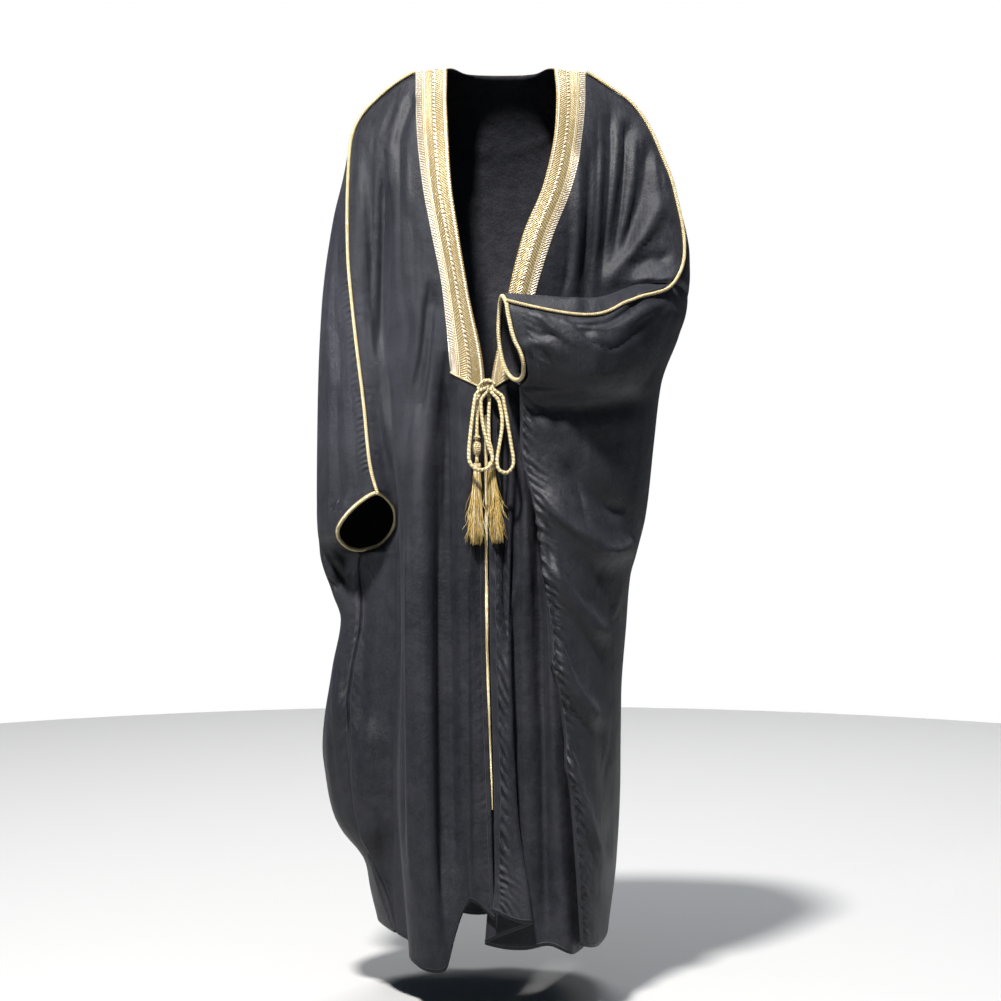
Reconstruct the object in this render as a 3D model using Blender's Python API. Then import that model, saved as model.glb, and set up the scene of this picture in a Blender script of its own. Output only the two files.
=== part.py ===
"""Open black cloak with gold trim, worn: a rigid stand-in of the draped cloth.

Metres, +Z up, front towards -Y.  The origin is the middle of the neck opening at shoulder height.
The cloth is one grid of rows (neck to hem) and columns (round the body), split into three panels.
"""
import math

import bmesh
import bpy
import numpy as np
from mathutils.bvhtree import BVHTree

MM = 0.001

# Driving sizes in millimetres
WALL = 2.0                # cloth wall
GAP = 0.3                 # clear space between touching pieces
SEAM_INSET = 0.2          # each panel stops this far short of its seam line
BAND_THICKNESS = 1.4      # embroidered band over the cloth
OVERARM_RADIUS = 2.8      # cord on the overarm seam
CUFF_RADIUS = 3.0         # cord that binds a cuff
PIPING_RADIUS = 1.6       # piping on the right front edge
TIE_RADIUS = 2.8          # tie cord at the waist
CLEARING_PASSES = 12      # rounds of moving a sewn cord clear of the cloth
CORD_SLACK = 0.4          # a sewn cord's extra clearance over the bends of the cloth
TASSEL_LENGTH = 118.0     # a tassel below its head
TASSEL_HEAD_RADIUS = 7.0
TASSEL_HEAD_HEIGHT = 14.0
TASSEL_SIDES = 10
KNOT_CENTRE = (-20.0, -184.0, -489.0)
KNOT_SIZE = (38.0, 17.0, 13.0)
KNOT_ROUNDING = 2.5
TAIL_RIGHT_X = -36.2      # the right tail hangs straight through its two knots
TAIL_RIGHT_Y = -187.0

# Rows of the grid: row number and height of that row on a plain stretch of cloth
LEVELS = ((0, 0), (8, -345), (12, -497), (16, -668), (19, -765), (22, -870), (34, -1390))
# First row, last row and how many strips of cells lie between them
ROW_PARTS = ((0, 8, 8), (8, 12, 8), (12, 16, 4), (16, 19, 6), (19, 22, 3), (22, 34, 9))
ELBOW_ROW = 8             # this row runs along the left forearm's seam cord
LEFT_CUFF_FOOT = 12       # the left side seam starts here
RIGHT_CUFF_TOP = 16
RIGHT_CUFF_FOOT = 19      # the right side seam starts here
BAND_END_ROW = 12         # the bands end here, at the waist
PIPING_END_ROW = 27.5     # the front piping ends here, short of the hem

# Guide lines run from the shoulder to the hem.  Each is: name, columns up to the next guide,
# rows of (row, x, y) or (row, x, y, z) in millimetres.  Without z, the row's own height is used.
FRONT_RIGHT = (
    ("edge", 3, (
        (0, -84, -8, 0), (1, -84, -52, -42), (2, -82, -84, -88), (4, -76, -122, -180), (6, -64, -142),
        (8, -50, -155), (12, -24, -170), (16, -24, -171), (22, -23, -179), (28, -15, -200),
        (34, -9, -214, -1326))),
    ("band side", 4, (
        (0, -134, -4, -7), (1, -133, -38, -50), (2, -131, -72, -94), (4, -121, -112, -184), (6, -106, -134),
        (8, -90, -148), (12, -76, -166), (16, -66, -171), (22, -62, -180), (28, -58, -196),
        (34, -48, -200, -1292))),
    ("roll", 3, (
        (0, -168, 0, -26), (1, -168, -30, -66), (2, -166, -58, -106), (4, -158, -96, -190), (8, -142, -132),
        (12, -128, -150), (16, -122, -176), (22, -118, -200), (28, -114, -222), (34, -86, -240, -1396))),
    ("turn", 3, (
        (0, -198, 2, -52), (1, -200, -22, -86), (2, -200, -46, -122), (4, -194, -74, -200),
        (8, -186, -88), (12, -178, -104), (16, -154, -158), (19, -150, -178), (22, -148, -192),
        (28, -150, -206), (34, -136, -214, -1380))),
    ("under", 3, (
        (0, -220, 2, -76), (1, -226, -16, -108), (2, -228, -34, -142), (4, -222, -64, -212),
        (8, -208, -86, -352), (12, -196, -100, -508), (16, -164, -98), (17, -158, -96),
        (19, -158, -84), (22, -158, -92),
        (28, -168, -104), (34, -140, -122, -1370))),
    ("end", 0, (
        (0, -232, 2, -98), (1, -236, -8, -128), (2, -237, -23, -160), (4, -238, -47, -224),
        (6, -237, -63, -290),
        (8, -231, -75, -362), (12, -213, -94, -512), (16, -193, -102, -664), (16.5, -176, -84, -677),
        (17, -165, -62, -694), (17.5, -165, -44, -716), (18, -178, -29, -740), (18.5, -197, -20, -757),
        (19, -222, -15, -766), (22, -226, -42), (25, -240, -58), (28, -233, -66), (30, -214, -70),
        (32, -188, -76), (34, -166, -86, -1362))),
)
FRONT_LEFT = (
    ("edge", 3, (
        (0, 84, -8, 0), (1, 87, -52, -42), (2, 85, -84, -88), (4, 67, -122, -180), (6, 34, -142),
        (8, 13, -155), (10, -2, -163), (12, -15, -173), (16, -18, -177), (22, -17, -191), (28, -10.5, -212),
        (31, -9, -220), (34, -14, -228, -1306))),
    ("band side", 2, (
        (0, 134, -4, -7), (1, 133, -38, -50), (2, 129, -72, -94), (4, 112, -112, -184), (6, 82, -134),
        (8, 56, -148), (10, 38, -156), (12, 24, -163), (16, 14, -176), (22, 12, -198), (28, 14, -216),
        (34, 26, -234, -1328))),
    ("fold", 2, (
        (0, 163, 0, -24), (1, 162, -30, -64), (2, 160, -58, -104), (4, 148, -98, -190), (8, 96, -128),
        (12, 50, -152), (16, 24, -162), (19, 18, -164), (22, 16, -188), (28, 24, -206),
        (34, 47, -228, -1334))),
    ("under", 4, (
        (0, 184, 0, -38), (1, 184, -24, -78), (2, 182, -48, -116), (4, 172, -82, -198), (8, 130, -110),
        (12, 76, -138), (16, 44, -158), (19, 34, -170), (22, 18, -172), (28, -6, -188),
        (34, -24, -200, -1372))),
    ("behind seam", 4, (
        (0, 204, 0, -52), (1, 206, -20, -92), (2, 206, -40, -130), (4, 198, -64, -208), (8, 168, -92),
        (12, 128, -112), (16, 98, -142), (22, 84, -168), (28, 92, -188), (34, 104, -204, -1392))),
    ("pocket", 3, (
        (0, 228, 0, -82), (1, 243, -8, -112), (2, 255, -18, -144), (3, 268, -28, -176), (4, 276, -36, -212),
        (5, 284, -42, -246), (6, 288, -48, -278), (7, 286, -60, -308), (8, 266, -88, -336),
        (9, 216, -74, -350), (10, 204, -70, -400), (12, 190, -78), (16, 166, -96), (22, 144, -112),
        (28, 138, -122), (34, 140, -128, -1384))),
    ("rear", 4, (
        (8, 146, -232, -389), (9, 140, -206, -360), (10, 124, -172, -402), (11, 118, -168, -450),
        (12, 120, -172), (16, 118, -176), (22, 112, -172), (28, 122, -172), (34, 134, -176, -1380))),
    ("tip", 0, (
        (8, 12, -258, -366), (9, 4, -232, -352), (10, 0, -206, -404), (11, 5, -200, -454),
        (11.5, 12, -204, -478), (12, 29, -222, -495), (14, 31, -214), (16, 50, -222), (19, 64, -230),
        (22, 76, -234), (25, 94, -234),
        (28, 108, -234), (31, 118, -232), (34, 124, -230, -1368))),
)
BACK = (
    ("right end", 3, ()),
    ("right side", 5, (
        (0, -220, 2, -76), (1, -240, 20, -126), (2, -248, 22, -164), (4, -264, 18, -236), (8, -283, 6, -372),
        (12, -290, 0, -520), (16, -292, -4, -676), (19, -287, -6), (21, -266, -8), (22, -254, -12),
        (24, -268, -10),
        (27, -284, -4), (28, -279, -2), (29, -271, 0), (30, -252, 1), (31, -216, 1), (32, -209, 0),
        (34, -196, -6, -1356))),
    ("right rear", 8, (
        (0, -168, 2, -26), (1, -182, 38, -44), (2, -190, 66, -84), (4, -200, 90, -180), (6, -204, 96, -262),
        (8, -206, 96, -352), (12, -204, 90, -500), (19, -194, 92), (22, -184, 98), (27, -190, 120),
        (34, -176, 138, -1372))),
    ("right neck", 2, (
        (0, -84, -8, 0), (1, -92, 34, -6), (2, -94, 70, -36), (3, -93, 98, -84), (4, -92, 116, -140),
        (6, -92, 136, -246), (8, -92, 140), (12, -92, 134), (19, -90, 138), (27, -88, 172),
        (34, -90, 200, -1382))),
    ("right nape", 2, (
        (0, -48, 50, -5), (1, -50, 82, -42), (2, -50, 104, -87), (4, -50, 129, -178), (8, -48, 144),
        (12, -48, 136),
        (19, -46, 142), (27, -44, 178), (34, -46, 208, -1386))),
    ("left nape", 2, (
        (0, 48, 50, -5), (1, 50, 82, -42), (2, 50, 104, -87), (4, 50, 129, -178), (8, 48, 144), (12, 48, 136),
        (19, 46, 142), (27, 48, 176), (34, 44, 206, -1386))),
    ("left neck", 7, (
        (0, 84, -8, 0), (1, 92, 34, -6), (2, 94, 70, -36), (3, 93, 98, -84), (4, 92, 116, -140),
        (6, 92, 136, -246), (8, 92, 140), (12, 92, 134), (19, 90, 138), (27, 86, 168), (34, 84, 194, -1384))),
    ("left rear", 5, (
        (0, 163, 0, -24), (1, 178, 38, -44), (2, 188, 66, -84), (4, 204, 90, -184), (6, 208, 94, -266),
        (8, 206, 92, -352), (12, 194, 88), (19, 166, 92), (22, 156, 98), (27, 152, 118),
        (34, 148, 136, -1374))),
    ("left side", 3, (
        (0, 208, 0, -56), (1, 236, 24, -118), (2, 254, 24, -156), (4, 280, 16, -232), (6, 294, 6, -300),
        (8, 294, 8, -362), (10, 278, 8), (12, 250, 8), (14, 240, 6), (17, 228, 4), (19, 212, 2), (20, 202, 0),
        (22, 198, -2), (25, 190, -4), (28, 190, -6), (31, 184, -6), (34, 170, -10, -1366))),
    ("elbow", 3, (
        (8, 266, -88, -336), (9, 272, -92, -382), (10, 262, -96, -420), (12, 236, -104, -500),
        (16, 214, -108), (19, 198, -118), (22, 182, -128), (28, 172, -136), (34, 164, -136, -1372))),
    ("sleeve face", 4, (
        (8, 146, -232, -389), (9, 148, -252, -406), (10, 150, -256, -432), (11, 146, -253, -468),
        (12, 138, -236, -505), (13, 134, -214), (14, 132, -205), (19, 136, -206), (22, 134, -206),
        (28, 144, -204),
        (34, 146, -202, -1376))),
    ("left end", 0, ()),
)
# The back's side of each cuff opening
RIGHT_CUFF_OUTER = (
    (16.5, -217, -105, -675), (17, -238, -98, -692), (17.5, -253, -84, -711), (18, -260, -64, -731),
    (18.5, -249, -36, -752))
LEFT_CUFF_OUTER = ((9, 14, -264, -379), (10, 22, -268, -414), (11, 38, -264, -452), (11.5, 42, -252, -476))
# Routes of the tie cord, x y z: each starts under the knot and hangs from it
UNDER_KNOT = KNOT_CENTRE[2] - KNOT_SIZE[2] / 2 - GAP
TIE_ROUTES = (
    ("tie_loop_right", (
        (-33.5, -188, UNDER_KNOT), (-37, -190, -504), (-43.6, -196, -545), (-48, -202, -588),
        (-47.6, -205, -608),
        (-40, -206, -619), (-28.7, -206, -622), (-17.6, -205, -617), (-11.8, -203, -608), (-15.7, -200, -594),
        (-24.2, -197, -566), (-29.4, -193, -532), (-28, -189, -508), (-26.6, -188, UNDER_KNOT))),
    ("tie_loop_left", (
        (-13.6, -188, UNDER_KNOT), (-11, -189, -504), (-3, -192, -521), (2.4, -195, -543), (1, -199, -568),
        (-3.4, -202, -594), (-5, -204, -612), (-1, -205, -623), (6, -205, -627), (16, -205, -622),
        (20, -204, -611), (17.4, -201, -590), (12.2, -197, -558), (6.6, -192, -526), (-1.4, -189, -504),
        (-6.6, -188, UNDER_KNOT))),
    ("tie_tail_right", (
        (-33.4, -181.2, UNDER_KNOT), (-34.6, -182, -510), (-36, -185.6, -540),
        (TAIL_RIGHT_X, TAIL_RIGHT_Y, -560),
        (TAIL_RIGHT_X, TAIL_RIGHT_Y, -585), (TAIL_RIGHT_X, TAIL_RIGHT_Y, -610.7))),
    ("tie_tail_left", (
        (-17.4, -181.2, UNDER_KNOT), (-17.6, -182.4, -520), (-18, -186, -560), (-16, -189, -590),
        (-13.4, -191, -608.7))),
)
# Knots on the right tail: name, top, height, widest radius
TAIL_KNOTS = (("tail_knot_small", -569.0, 8.0, 4.6), ("tail_knot_large", -578.5, 22.0, 5.6))
# Tassels: name, top of the head, lean of the skirt, its spread across and in depth, seed
TASSELS = (
    ("tassel_right", (TAIL_RIGHT_X, TAIL_RIGHT_Y, -611.0), (-2.0, -3.0), (2.3, 1.3), 3),
    ("tassel_left", (-13.4, -191.0, -609.0), (8.0, -2.0), (2.0, 1.3), 8),
)
# Creases: panel side, start x z, middle x z, end x z, half-width, rise (a trough is below zero)
CREASES = (
    # Right front: arm fold, chest folds, then the rolls and valleys of the skirt
    ("right", -184, -140, -185, -300, -190, -470, 11, -12),
    ("right", -212, -110, -206, -270, -202, -430, 9, -7),
    ("right", -134, -40, -150, -80, -164, -140, 8, -6),
    ("right", -146, -200, -140, -320, -150, -470, 12, -6),
    ("right", -106, -330, -112, -440, -134, -560, 11, -9),
    ("right", -82, -440, -86, -800, -78, -1480, 15, -26),
    ("right", -122, -520, -122, -950, -104, -1560, 20, 12),
    ("right", -48, -540, -50, -900, -44, -1560, 13, 9),
    ("right", -222, -780, -222, -920, -226, -1060, 13, -9),
    ("right", -205, -1010, -214, -1130, -206, -1250, 26, 12),
    ("right", -180, -1180, -186, -1300, -170, -1460, 14, -12),
    # Right sleeve and side, on the back panel
    ("side", -262, -150, -268, -330, -272, -560, 13, 6),
    ("side", -250, -380, -262, -560, -256, -700, 9, -6),
    ("side", -240, -760, -262, -820, -282, -800, 10, -10),
    ("side", -246, -960, -262, -1090, -240, -1240, 16, 10),
    # Left front: folds from the shoulder into the bend of the arm, then the skirt
    ("left", 172, -50, 170, -180, 156, -360, 10, -9),
    ("left", 200, -80, 196, -165, 166, -340, 9, -9),
    ("left", 229, -110, 222, -200, 178, -320, 10, -10),
    ("left", 150, -350, 214, -276, 262, -190, 12, 9),
    ("left", 122, -120, 118, -230, 112, -400, 8, 6),
    ("left", 146, -110, 140, -240, 130, -400, 8, -6),
    ("left", 196, -318, 232, -300, 270, -292, 8, -7),
    ("left", 10, -540, 9, -700, 10, -930, 8, -14),
    ("left", 34, -560, 36, -850, 46, -1500, 12, 8),
    ("left", 58, -620, 64, -1000, 74, -1440, 8, -13),
    ("left", 80, -900, 94, -1220, 108, -1500, 10, 8),
    # Left sleeve and the back panel's front: swags that fall from the side seam
    ("sleeve", 118, -396, 165, -408, 232, -368, 8, -6),
    ("sleeve", 30, -446, 62, -428, 100, -462, 11, 5),
    ("sleeve", 20, -520, 120, -528, 250, -510, 18, -14),
    ("sleeve", 50, -630, 140, -738, 216, -736, 20, 15),
    ("sleeve", 90, -590, 150, -668, 200, -690, 16, -9),
    ("sleeve", 66, -745, 112, -832, 178, -884, 12, 12),
    ("sleeve", 74, -880, 120, -974, 182, -1016, 12, 11),
    ("sleeve", 96, -1030, 130, -1150, 180, -1290, 10, 10),
    ("sleeve", 150, -930, 168, -1130, 164, -1240, 12, -9),
    # Back: soft flutes that deepen towards the hem
    ("back", -170, -100, -150, -420, -142, -1560, 24, -18),
    ("back", -120, -140, -104, -700, -92, -1560, 20, 12),
    ("back", -60, -260, -50, -760, -38, -1560, 22, -18),
    ("back", 4, -400, 6, -900, 14, -1560, 20, 12),
    ("back", 70, -200, 58, -760, 66, -1560, 22, -18),
    ("back", 150, -110, 124, -620, 118, -1560, 22, 12),
    ("back", 196, -180, 170, -560, 160, -1560, 18, -14),
)


def smooth(keys, values, at):
    """Monotone cubic curve through (keys, values), read at the places in at."""
    keys = np.asarray(keys, float)
    values = np.asarray(values, float)
    steps = np.diff(keys)
    slopes = np.diff(values) / steps
    tangents = np.zeros(len(keys))
    tangents[0], tangents[-1] = slopes[0], slopes[-1]
    for k in range(1, len(keys) - 1):
        if slopes[k - 1] * slopes[k] > 0:
            before = 2 * steps[k] + steps[k - 1]
            after = steps[k] + 2 * steps[k - 1]
            tangents[k] = (before + after) / (before / slopes[k - 1] + after / slopes[k])
    at = np.clip(at, keys[0], keys[-1])
    k = np.clip(np.searchsorted(keys, at, side="right") - 1, 0, len(steps) - 1)
    t = (at - keys[k]) / steps[k]
    return (values[k] * (1 + 2 * t) * (1 - t) ** 2 + tangents[k] * steps[k] * t * (1 - t) ** 2
            + values[k + 1] * t * t * (3 - 2 * t) + tangents[k + 1] * steps[k] * t * t * (t - 1))


def level(row):
    """Height of a row on a plain stretch of cloth."""
    keys, heights = zip(*LEVELS)
    return smooth(keys, heights, row)


def guide_line(rows, at):
    """Points of one guide at the given rows; rows above its start are not a number."""
    full = [row if len(row) == 4 else (*row, float(level(row[0]))) for row in rows]
    keys, xs, ys, zs = zip(*full)
    line = np.stack([smooth(keys, column, at) for column in (xs, ys, zs)], axis=1)
    line[at < keys[0] - 1e-6] = np.nan
    return line


def section(stations, counts, before=None, after=None):
    """Smooth curve through the stations of one row, with counts[k] columns in stretch k."""
    stations = [np.asarray(p, float) for p in stations]
    first = stations[0] * 2 - stations[1] if before is None else before
    last = stations[-1] * 2 - stations[-2] if after is None else after
    padded = [first, *stations, last]
    knots = [0.0]
    for p, q in zip(padded, padded[1:]):
        knots.append(knots[-1] + max(np.linalg.norm(q - p), 1.0) ** 0.5)
    points = []
    for k, count in enumerate(counts):
        p0, p1, p2, p3 = padded[k:k + 4]
        t0, t1, t2, t3 = knots[k:k + 4]
        m1 = ((p1 - p0) / (t1 - t0) - (p2 - p0) / (t2 - t0) + (p2 - p1) / (t2 - t1)) * (t2 - t1)
        m2 = ((p2 - p1) / (t2 - t1) - (p3 - p1) / (t3 - t1) + (p3 - p2) / (t3 - t2)) * (t2 - t1)
        for i in range(count):
            t = i / count
            points.append(p1 * (1 + 2 * t) * (1 - t) ** 2 + m1 * t * (1 - t) ** 2
                          + p2 * t * t * (3 - 2 * t) + m2 * t * t * (t - 1))
    points.append(stations[-1])
    return np.array(points)


def cloth_rows(finer=1):
    """Row numbers of the grid; finer splits each part into that many."""
    rows = [np.linspace(first, last, parts * finer, endpoint=False) for first, last, parts in ROW_PARTS]
    return np.array([*np.concatenate(rows), ROW_PARTS[-1][1]])


def lay_cloth(finer=1):
    """Points of the draped cloth and, for each panel, its grid of point numbers.

    finer splits each row and column into that many.
    """
    at = cloth_rows(finer)
    lines = {}
    for side, guides in (("right", FRONT_RIGHT), ("left", FRONT_LEFT), ("back", BACK)):
        for name, _, rows in guides:
            if rows:
                lines[side, name] = guide_line(rows, at)
    # The back panel's right and left ends follow the fronts' ends, but for the cuffs
    lines["back", "right end"] = rim_line(
        lines["right", "end"], RIGHT_CUFF_OUTER, RIGHT_CUFF_TOP, RIGHT_CUFF_FOOT, at)
    lines["back", "left end"] = rim_line(
        lines["left", "tip"], LEFT_CUFF_OUTER, ELBOW_ROW, LEFT_CUFF_FOOT, at)

    upper = at < ELBOW_ROW
    lines["back", "elbow"][upper] = lines["left", "pocket"][upper]

    counts = {side: [count * finer for _, count, _ in guides[:-1]]
              for side, guides in (("right", FRONT_RIGHT), ("left", FRONT_LEFT), ("back", BACK))}
    points = []
    grids = {}
    for side, guides in (("right", FRONT_RIGHT), ("left", FRONT_LEFT), ("back", BACK)):
        grids[side] = np.full((len(at), sum(counts[side]) + 1), -1)

    def add(point):
        points.append(point)
        return len(points) - 1

    for i, row in enumerate(at):
        sleeve = row >= ELBOW_ROW - 1e-6
        right = [lines["right", name][i] for name, _, _ in FRONT_RIGHT]
        left = [lines["left", name][i] for name, _, _ in FRONT_LEFT][:None if sleeve else -2]
        back = [lines["back", name][i] for name, _, _ in BACK][:None if sleeve else -2]
        right_cuff = RIGHT_CUFF_TOP < row < RIGHT_CUFF_FOOT
        left_cuff = ELBOW_ROW < row < LEFT_CUFF_FOOT
        front_right = section(right, counts["right"], after=None if right_cuff else back[1])
        front_left = section(left, counts["left"][:len(left) - 1], after=None if left_cuff else back[-2])
        rear = section(back, counts["back"][:len(back) - 1], None if right_cuff else right[-2],
                       None if left_cuff else left[-2])
        grids["right"][i, :len(front_right)] = [add(p) for p in front_right]
        grids["left"][i, :len(front_left)] = [add(p) for p in front_left]
        numbers = [add(p) for p in rear]
        if not right_cuff:
            numbers[0] = grids["right"][i, -1]
        if not left_cuff:
            numbers[-1] = grids["left"][i, len(front_left) - 1]
        if i == 0:
            # The shoulder line is shared by front and back
            numbers[:len(front_right)] = grids["right"][0, ::-1]
            numbers[-len(front_left):] = grids["left"][0, :len(front_left)]
        if abs(row - ELBOW_ROW) < 1e-6:
            # So is the seam along the left forearm
            shared = sum(counts["left"][-2:])
            numbers[-shared - 1:] = grids["left"][i, -shared - 1:]
        grids["back"][i, :len(numbers)] = numbers
    return np.array(points), grids


def rim_line(seam, rim, top, foot, at):
    """The back's side of a cuff opening: the seam line, but its own rows from top to foot."""
    row_at = {row: seam[int(np.argmin(abs(at - row)))] for row in (top, foot)}
    rows = ((top, *row_at[top]), *rim, (foot, *row_at[foot]))
    inside = (at > top) & (at < foot)
    line = seam.copy()
    line[inside] = guide_line(rows, at)[inside]
    return line


def cells(grid):
    """Corner numbers of each whole cell of a grid: down the rows, then across."""
    corners = np.stack([grid[:-1, :-1], grid[:-1, 1:], grid[1:, 1:], grid[1:, :-1]], axis=-1)
    return corners[(corners >= 0).all(axis=-1)]


def normals(points, grids):
    """Outward unit normal at each point of the cloth, shared across its seams."""
    total = np.zeros_like(points)
    for side, grid in grids.items():
        quads = cells(grid)
        a, b, c, d = (points[quads[:, k]] for k in range(4))
        area = np.cross(c - a, d - b) * (-1 if side == "left" else 1)
        for k in range(4):
            np.add.at(total, quads[:, k], area)
    return total / np.maximum(np.linalg.norm(total, axis=1, keepdims=True), 1e-9)


def crease_height(points, facing, creases):
    """How far each point stands out because of the creases whose panel side faces it."""
    height = np.zeros(len(points))
    steps = np.linspace(0, 1, 17)
    for side, x0, z0, x1, z1, x2, z2, half_width, rise in creases:
        # A quadratic curve that passes its middle point halfway
        cx, cz = 2 * x1 - (x0 + x2) / 2, 2 * z1 - (z0 + z2) / 2
        xs = x0 * (1 - steps) ** 2 + 2 * cx * steps * (1 - steps) + x2 * steps ** 2
        zs = z0 * (1 - steps) ** 2 + 2 * cz * steps * (1 - steps) + z2 * steps ** 2
        near = facing[side] > 0.01
        px, pz = points[near, 0, None], points[near, 2, None]
        dx, dz = np.diff(xs), np.diff(zs)
        share = np.clip(((px - xs[:-1]) * dx + (pz - zs[:-1]) * dz) / (dx * dx + dz * dz), 0, 1)
        squared = (px - xs[:-1] - share * dx) ** 2 + (pz - zs[:-1] - share * dz) ** 2
        nearest = squared.argmin(axis=1)
        rank = np.arange(len(nearest))
        along = (nearest + share[rank, nearest]) / len(dx)
        fade = np.clip(np.minimum(along, 1 - along) * 5, 0, 1)
        fade = fade * fade * (3 - 2 * fade)
        height[near] += rise * np.exp(-squared[rank, nearest] / half_width ** 2) * fade * facing[side][near]
    return height


def facing_sides(points, outward, grids):
    """For each named side of the garment, how squarely each point looks that way."""
    front = np.clip(-outward[:, 1] * 1.5, 0, 1)
    rear = np.clip(outward[:, 1] * 1.5, 0, 1)
    member = {side: np.isin(np.arange(len(points)), grid[grid >= 0]) for side, grid in grids.items()}
    return {
        "right": front * member["right"],
        "left": front * member["left"],
        "back": rear * member["back"],
        "sleeve": front * member["back"] * (points[:, 0] > 0),
        "side": front * member["back"] * (points[:, 0] < 0),
    }


def boundary_shift(points, grid, reach):
    """Moves of a grid's outer points towards its inside, reach millimetres long."""
    rows, columns = grid.shape
    shift = np.zeros((rows, columns, 3))

    def number(i, j):
        return grid[i, j] if 0 <= i < rows and 0 <= j < columns else -1

    for i in range(rows):
        for j in range(columns):
            here = grid[i, j]
            if here < 0:
                continue
            total = np.zeros(3)
            open_side = False
            for di, dj in ((1, 0), (-1, 0), (0, 1), (0, -1)):
                inward = number(i - di, j - dj)
                if number(i + di, j + dj) < 0 <= inward:
                    open_side = True
                    edge = points[inward] - points[here]
                    total += edge / np.linalg.norm(edge)
            if not open_side and number(i - 1, j + 1) < 0 <= number(i + 1, j - 1):
                edge = points[number(i + 1, j - 1)] - points[here]
                total += edge / np.linalg.norm(edge)
            shift[i, j] = total * reach
    return shift


def wall_mesh(name, points, outward, grid, low, high, flip, material, reach=SEAM_INSET):
    """A closed wall on a grid, between the distances low and high from the cloth's middle."""
    shift = boundary_shift(points, grid, reach)
    used = [tuple(cell) for cell in np.argwhere(grid >= 0)]
    place = {cell: k for k, cell in enumerate(used)}
    rows, columns = zip(*used)
    base = points[grid[rows, columns]] + shift[rows, columns]
    lift = outward[grid[rows, columns]]
    corners = np.concatenate([base + lift * high, base + lift * low]) * MM
    under = len(used)
    outer = []
    for i in range(grid.shape[0] - 1):
        for j in range(grid.shape[1] - 1):
            ring = [place[cell] for cell in ((i, j), (i, j + 1), (i + 1, j + 1), (i + 1, j)) if cell in place]
            for k in range(1, len(ring) - 1):
                triangle = (ring[0], ring[k], ring[k + 1])
                outer.append(triangle[::-1] if flip else triangle)
    edges = {(tri[k], tri[(k + 1) % 3]) for tri in outer for k in range(3)}
    rim = [(a, b) for a, b in edges if (b, a) not in edges]
    faces = list(outer) + [(a + under, c + under, b + under) for a, b, c in outer]
    for a, b in sorted(rim):
        faces += [(b, a, a + under), (b, a + under, b + under)]
    mesh = bpy.data.meshes.new(name)
    mesh.from_pydata([tuple(p) for p in corners], [], faces)
    mesh.validate()
    mesh.materials.append(material)
    obj = bpy.data.objects.new(name, mesh)
    bpy.context.collection.objects.link(obj)
    mesh.shade_smooth()
    mesh.set_sharp_from_angle(angle=math.radians(60))
    return obj


def tube(name, path, radius, material, closed=False, sides=2):
    """A round cord along a path in millimetres."""
    curve = bpy.data.curves.new(name, "CURVE")
    curve.dimensions = "3D"
    curve.bevel_depth = radius * MM
    curve.bevel_resolution = sides
    curve.use_fill_caps = not closed
    spline = curve.splines.new("POLY")
    spline.points.add(len(path) - 1)
    for point, (x, y, z) in zip(spline.points, path):
        point.co = (x * MM, y * MM, z * MM, 1)
    spline.use_cyclic_u = closed
    curve.materials.append(material)
    obj = bpy.data.objects.new(name, curve)
    bpy.context.collection.objects.link(obj)
    return obj


def part_of_grid(grid, rows, columns, cut_corner=False):
    """The grid with only the given rows and columns kept, its far lower corner cut off if asked."""
    kept = np.full_like(grid, -1)
    kept[rows, columns] = grid[rows, columns]
    if cut_corner:
        kept[rows.stop - 1, columns.stop - 1] = -1
    return kept


def build_bands(points, outward, grids, gold):
    """The embroidered band down each front edge and round the back of the neck."""
    low = WALL / 2 + GAP
    high = low + BAND_THICKNESS
    width = FRONT_RIGHT[0][1]
    end = int(np.argmin(abs(cloth_rows() - BAND_END_ROW)))
    for name, side in (("band_right", "right"), ("band_left", "left")):
        strip = part_of_grid(grids[side], slice(0, end + 1), slice(0, width + 1), cut_corner=True)
        wall_mesh(name, points, outward, strip, low, high, side == "left", gold)
    shoulder = sum(count for _, count, _ in FRONT_RIGHT)
    neck = sum(count for _, count, _ in BACK[3:6])
    strip = part_of_grid(grids["back"], slice(0, 2), slice(shoulder - width, shoulder + neck + width + 1))
    wall_mesh("band_neck", points, outward, strip, low, high, False, gold)


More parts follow.
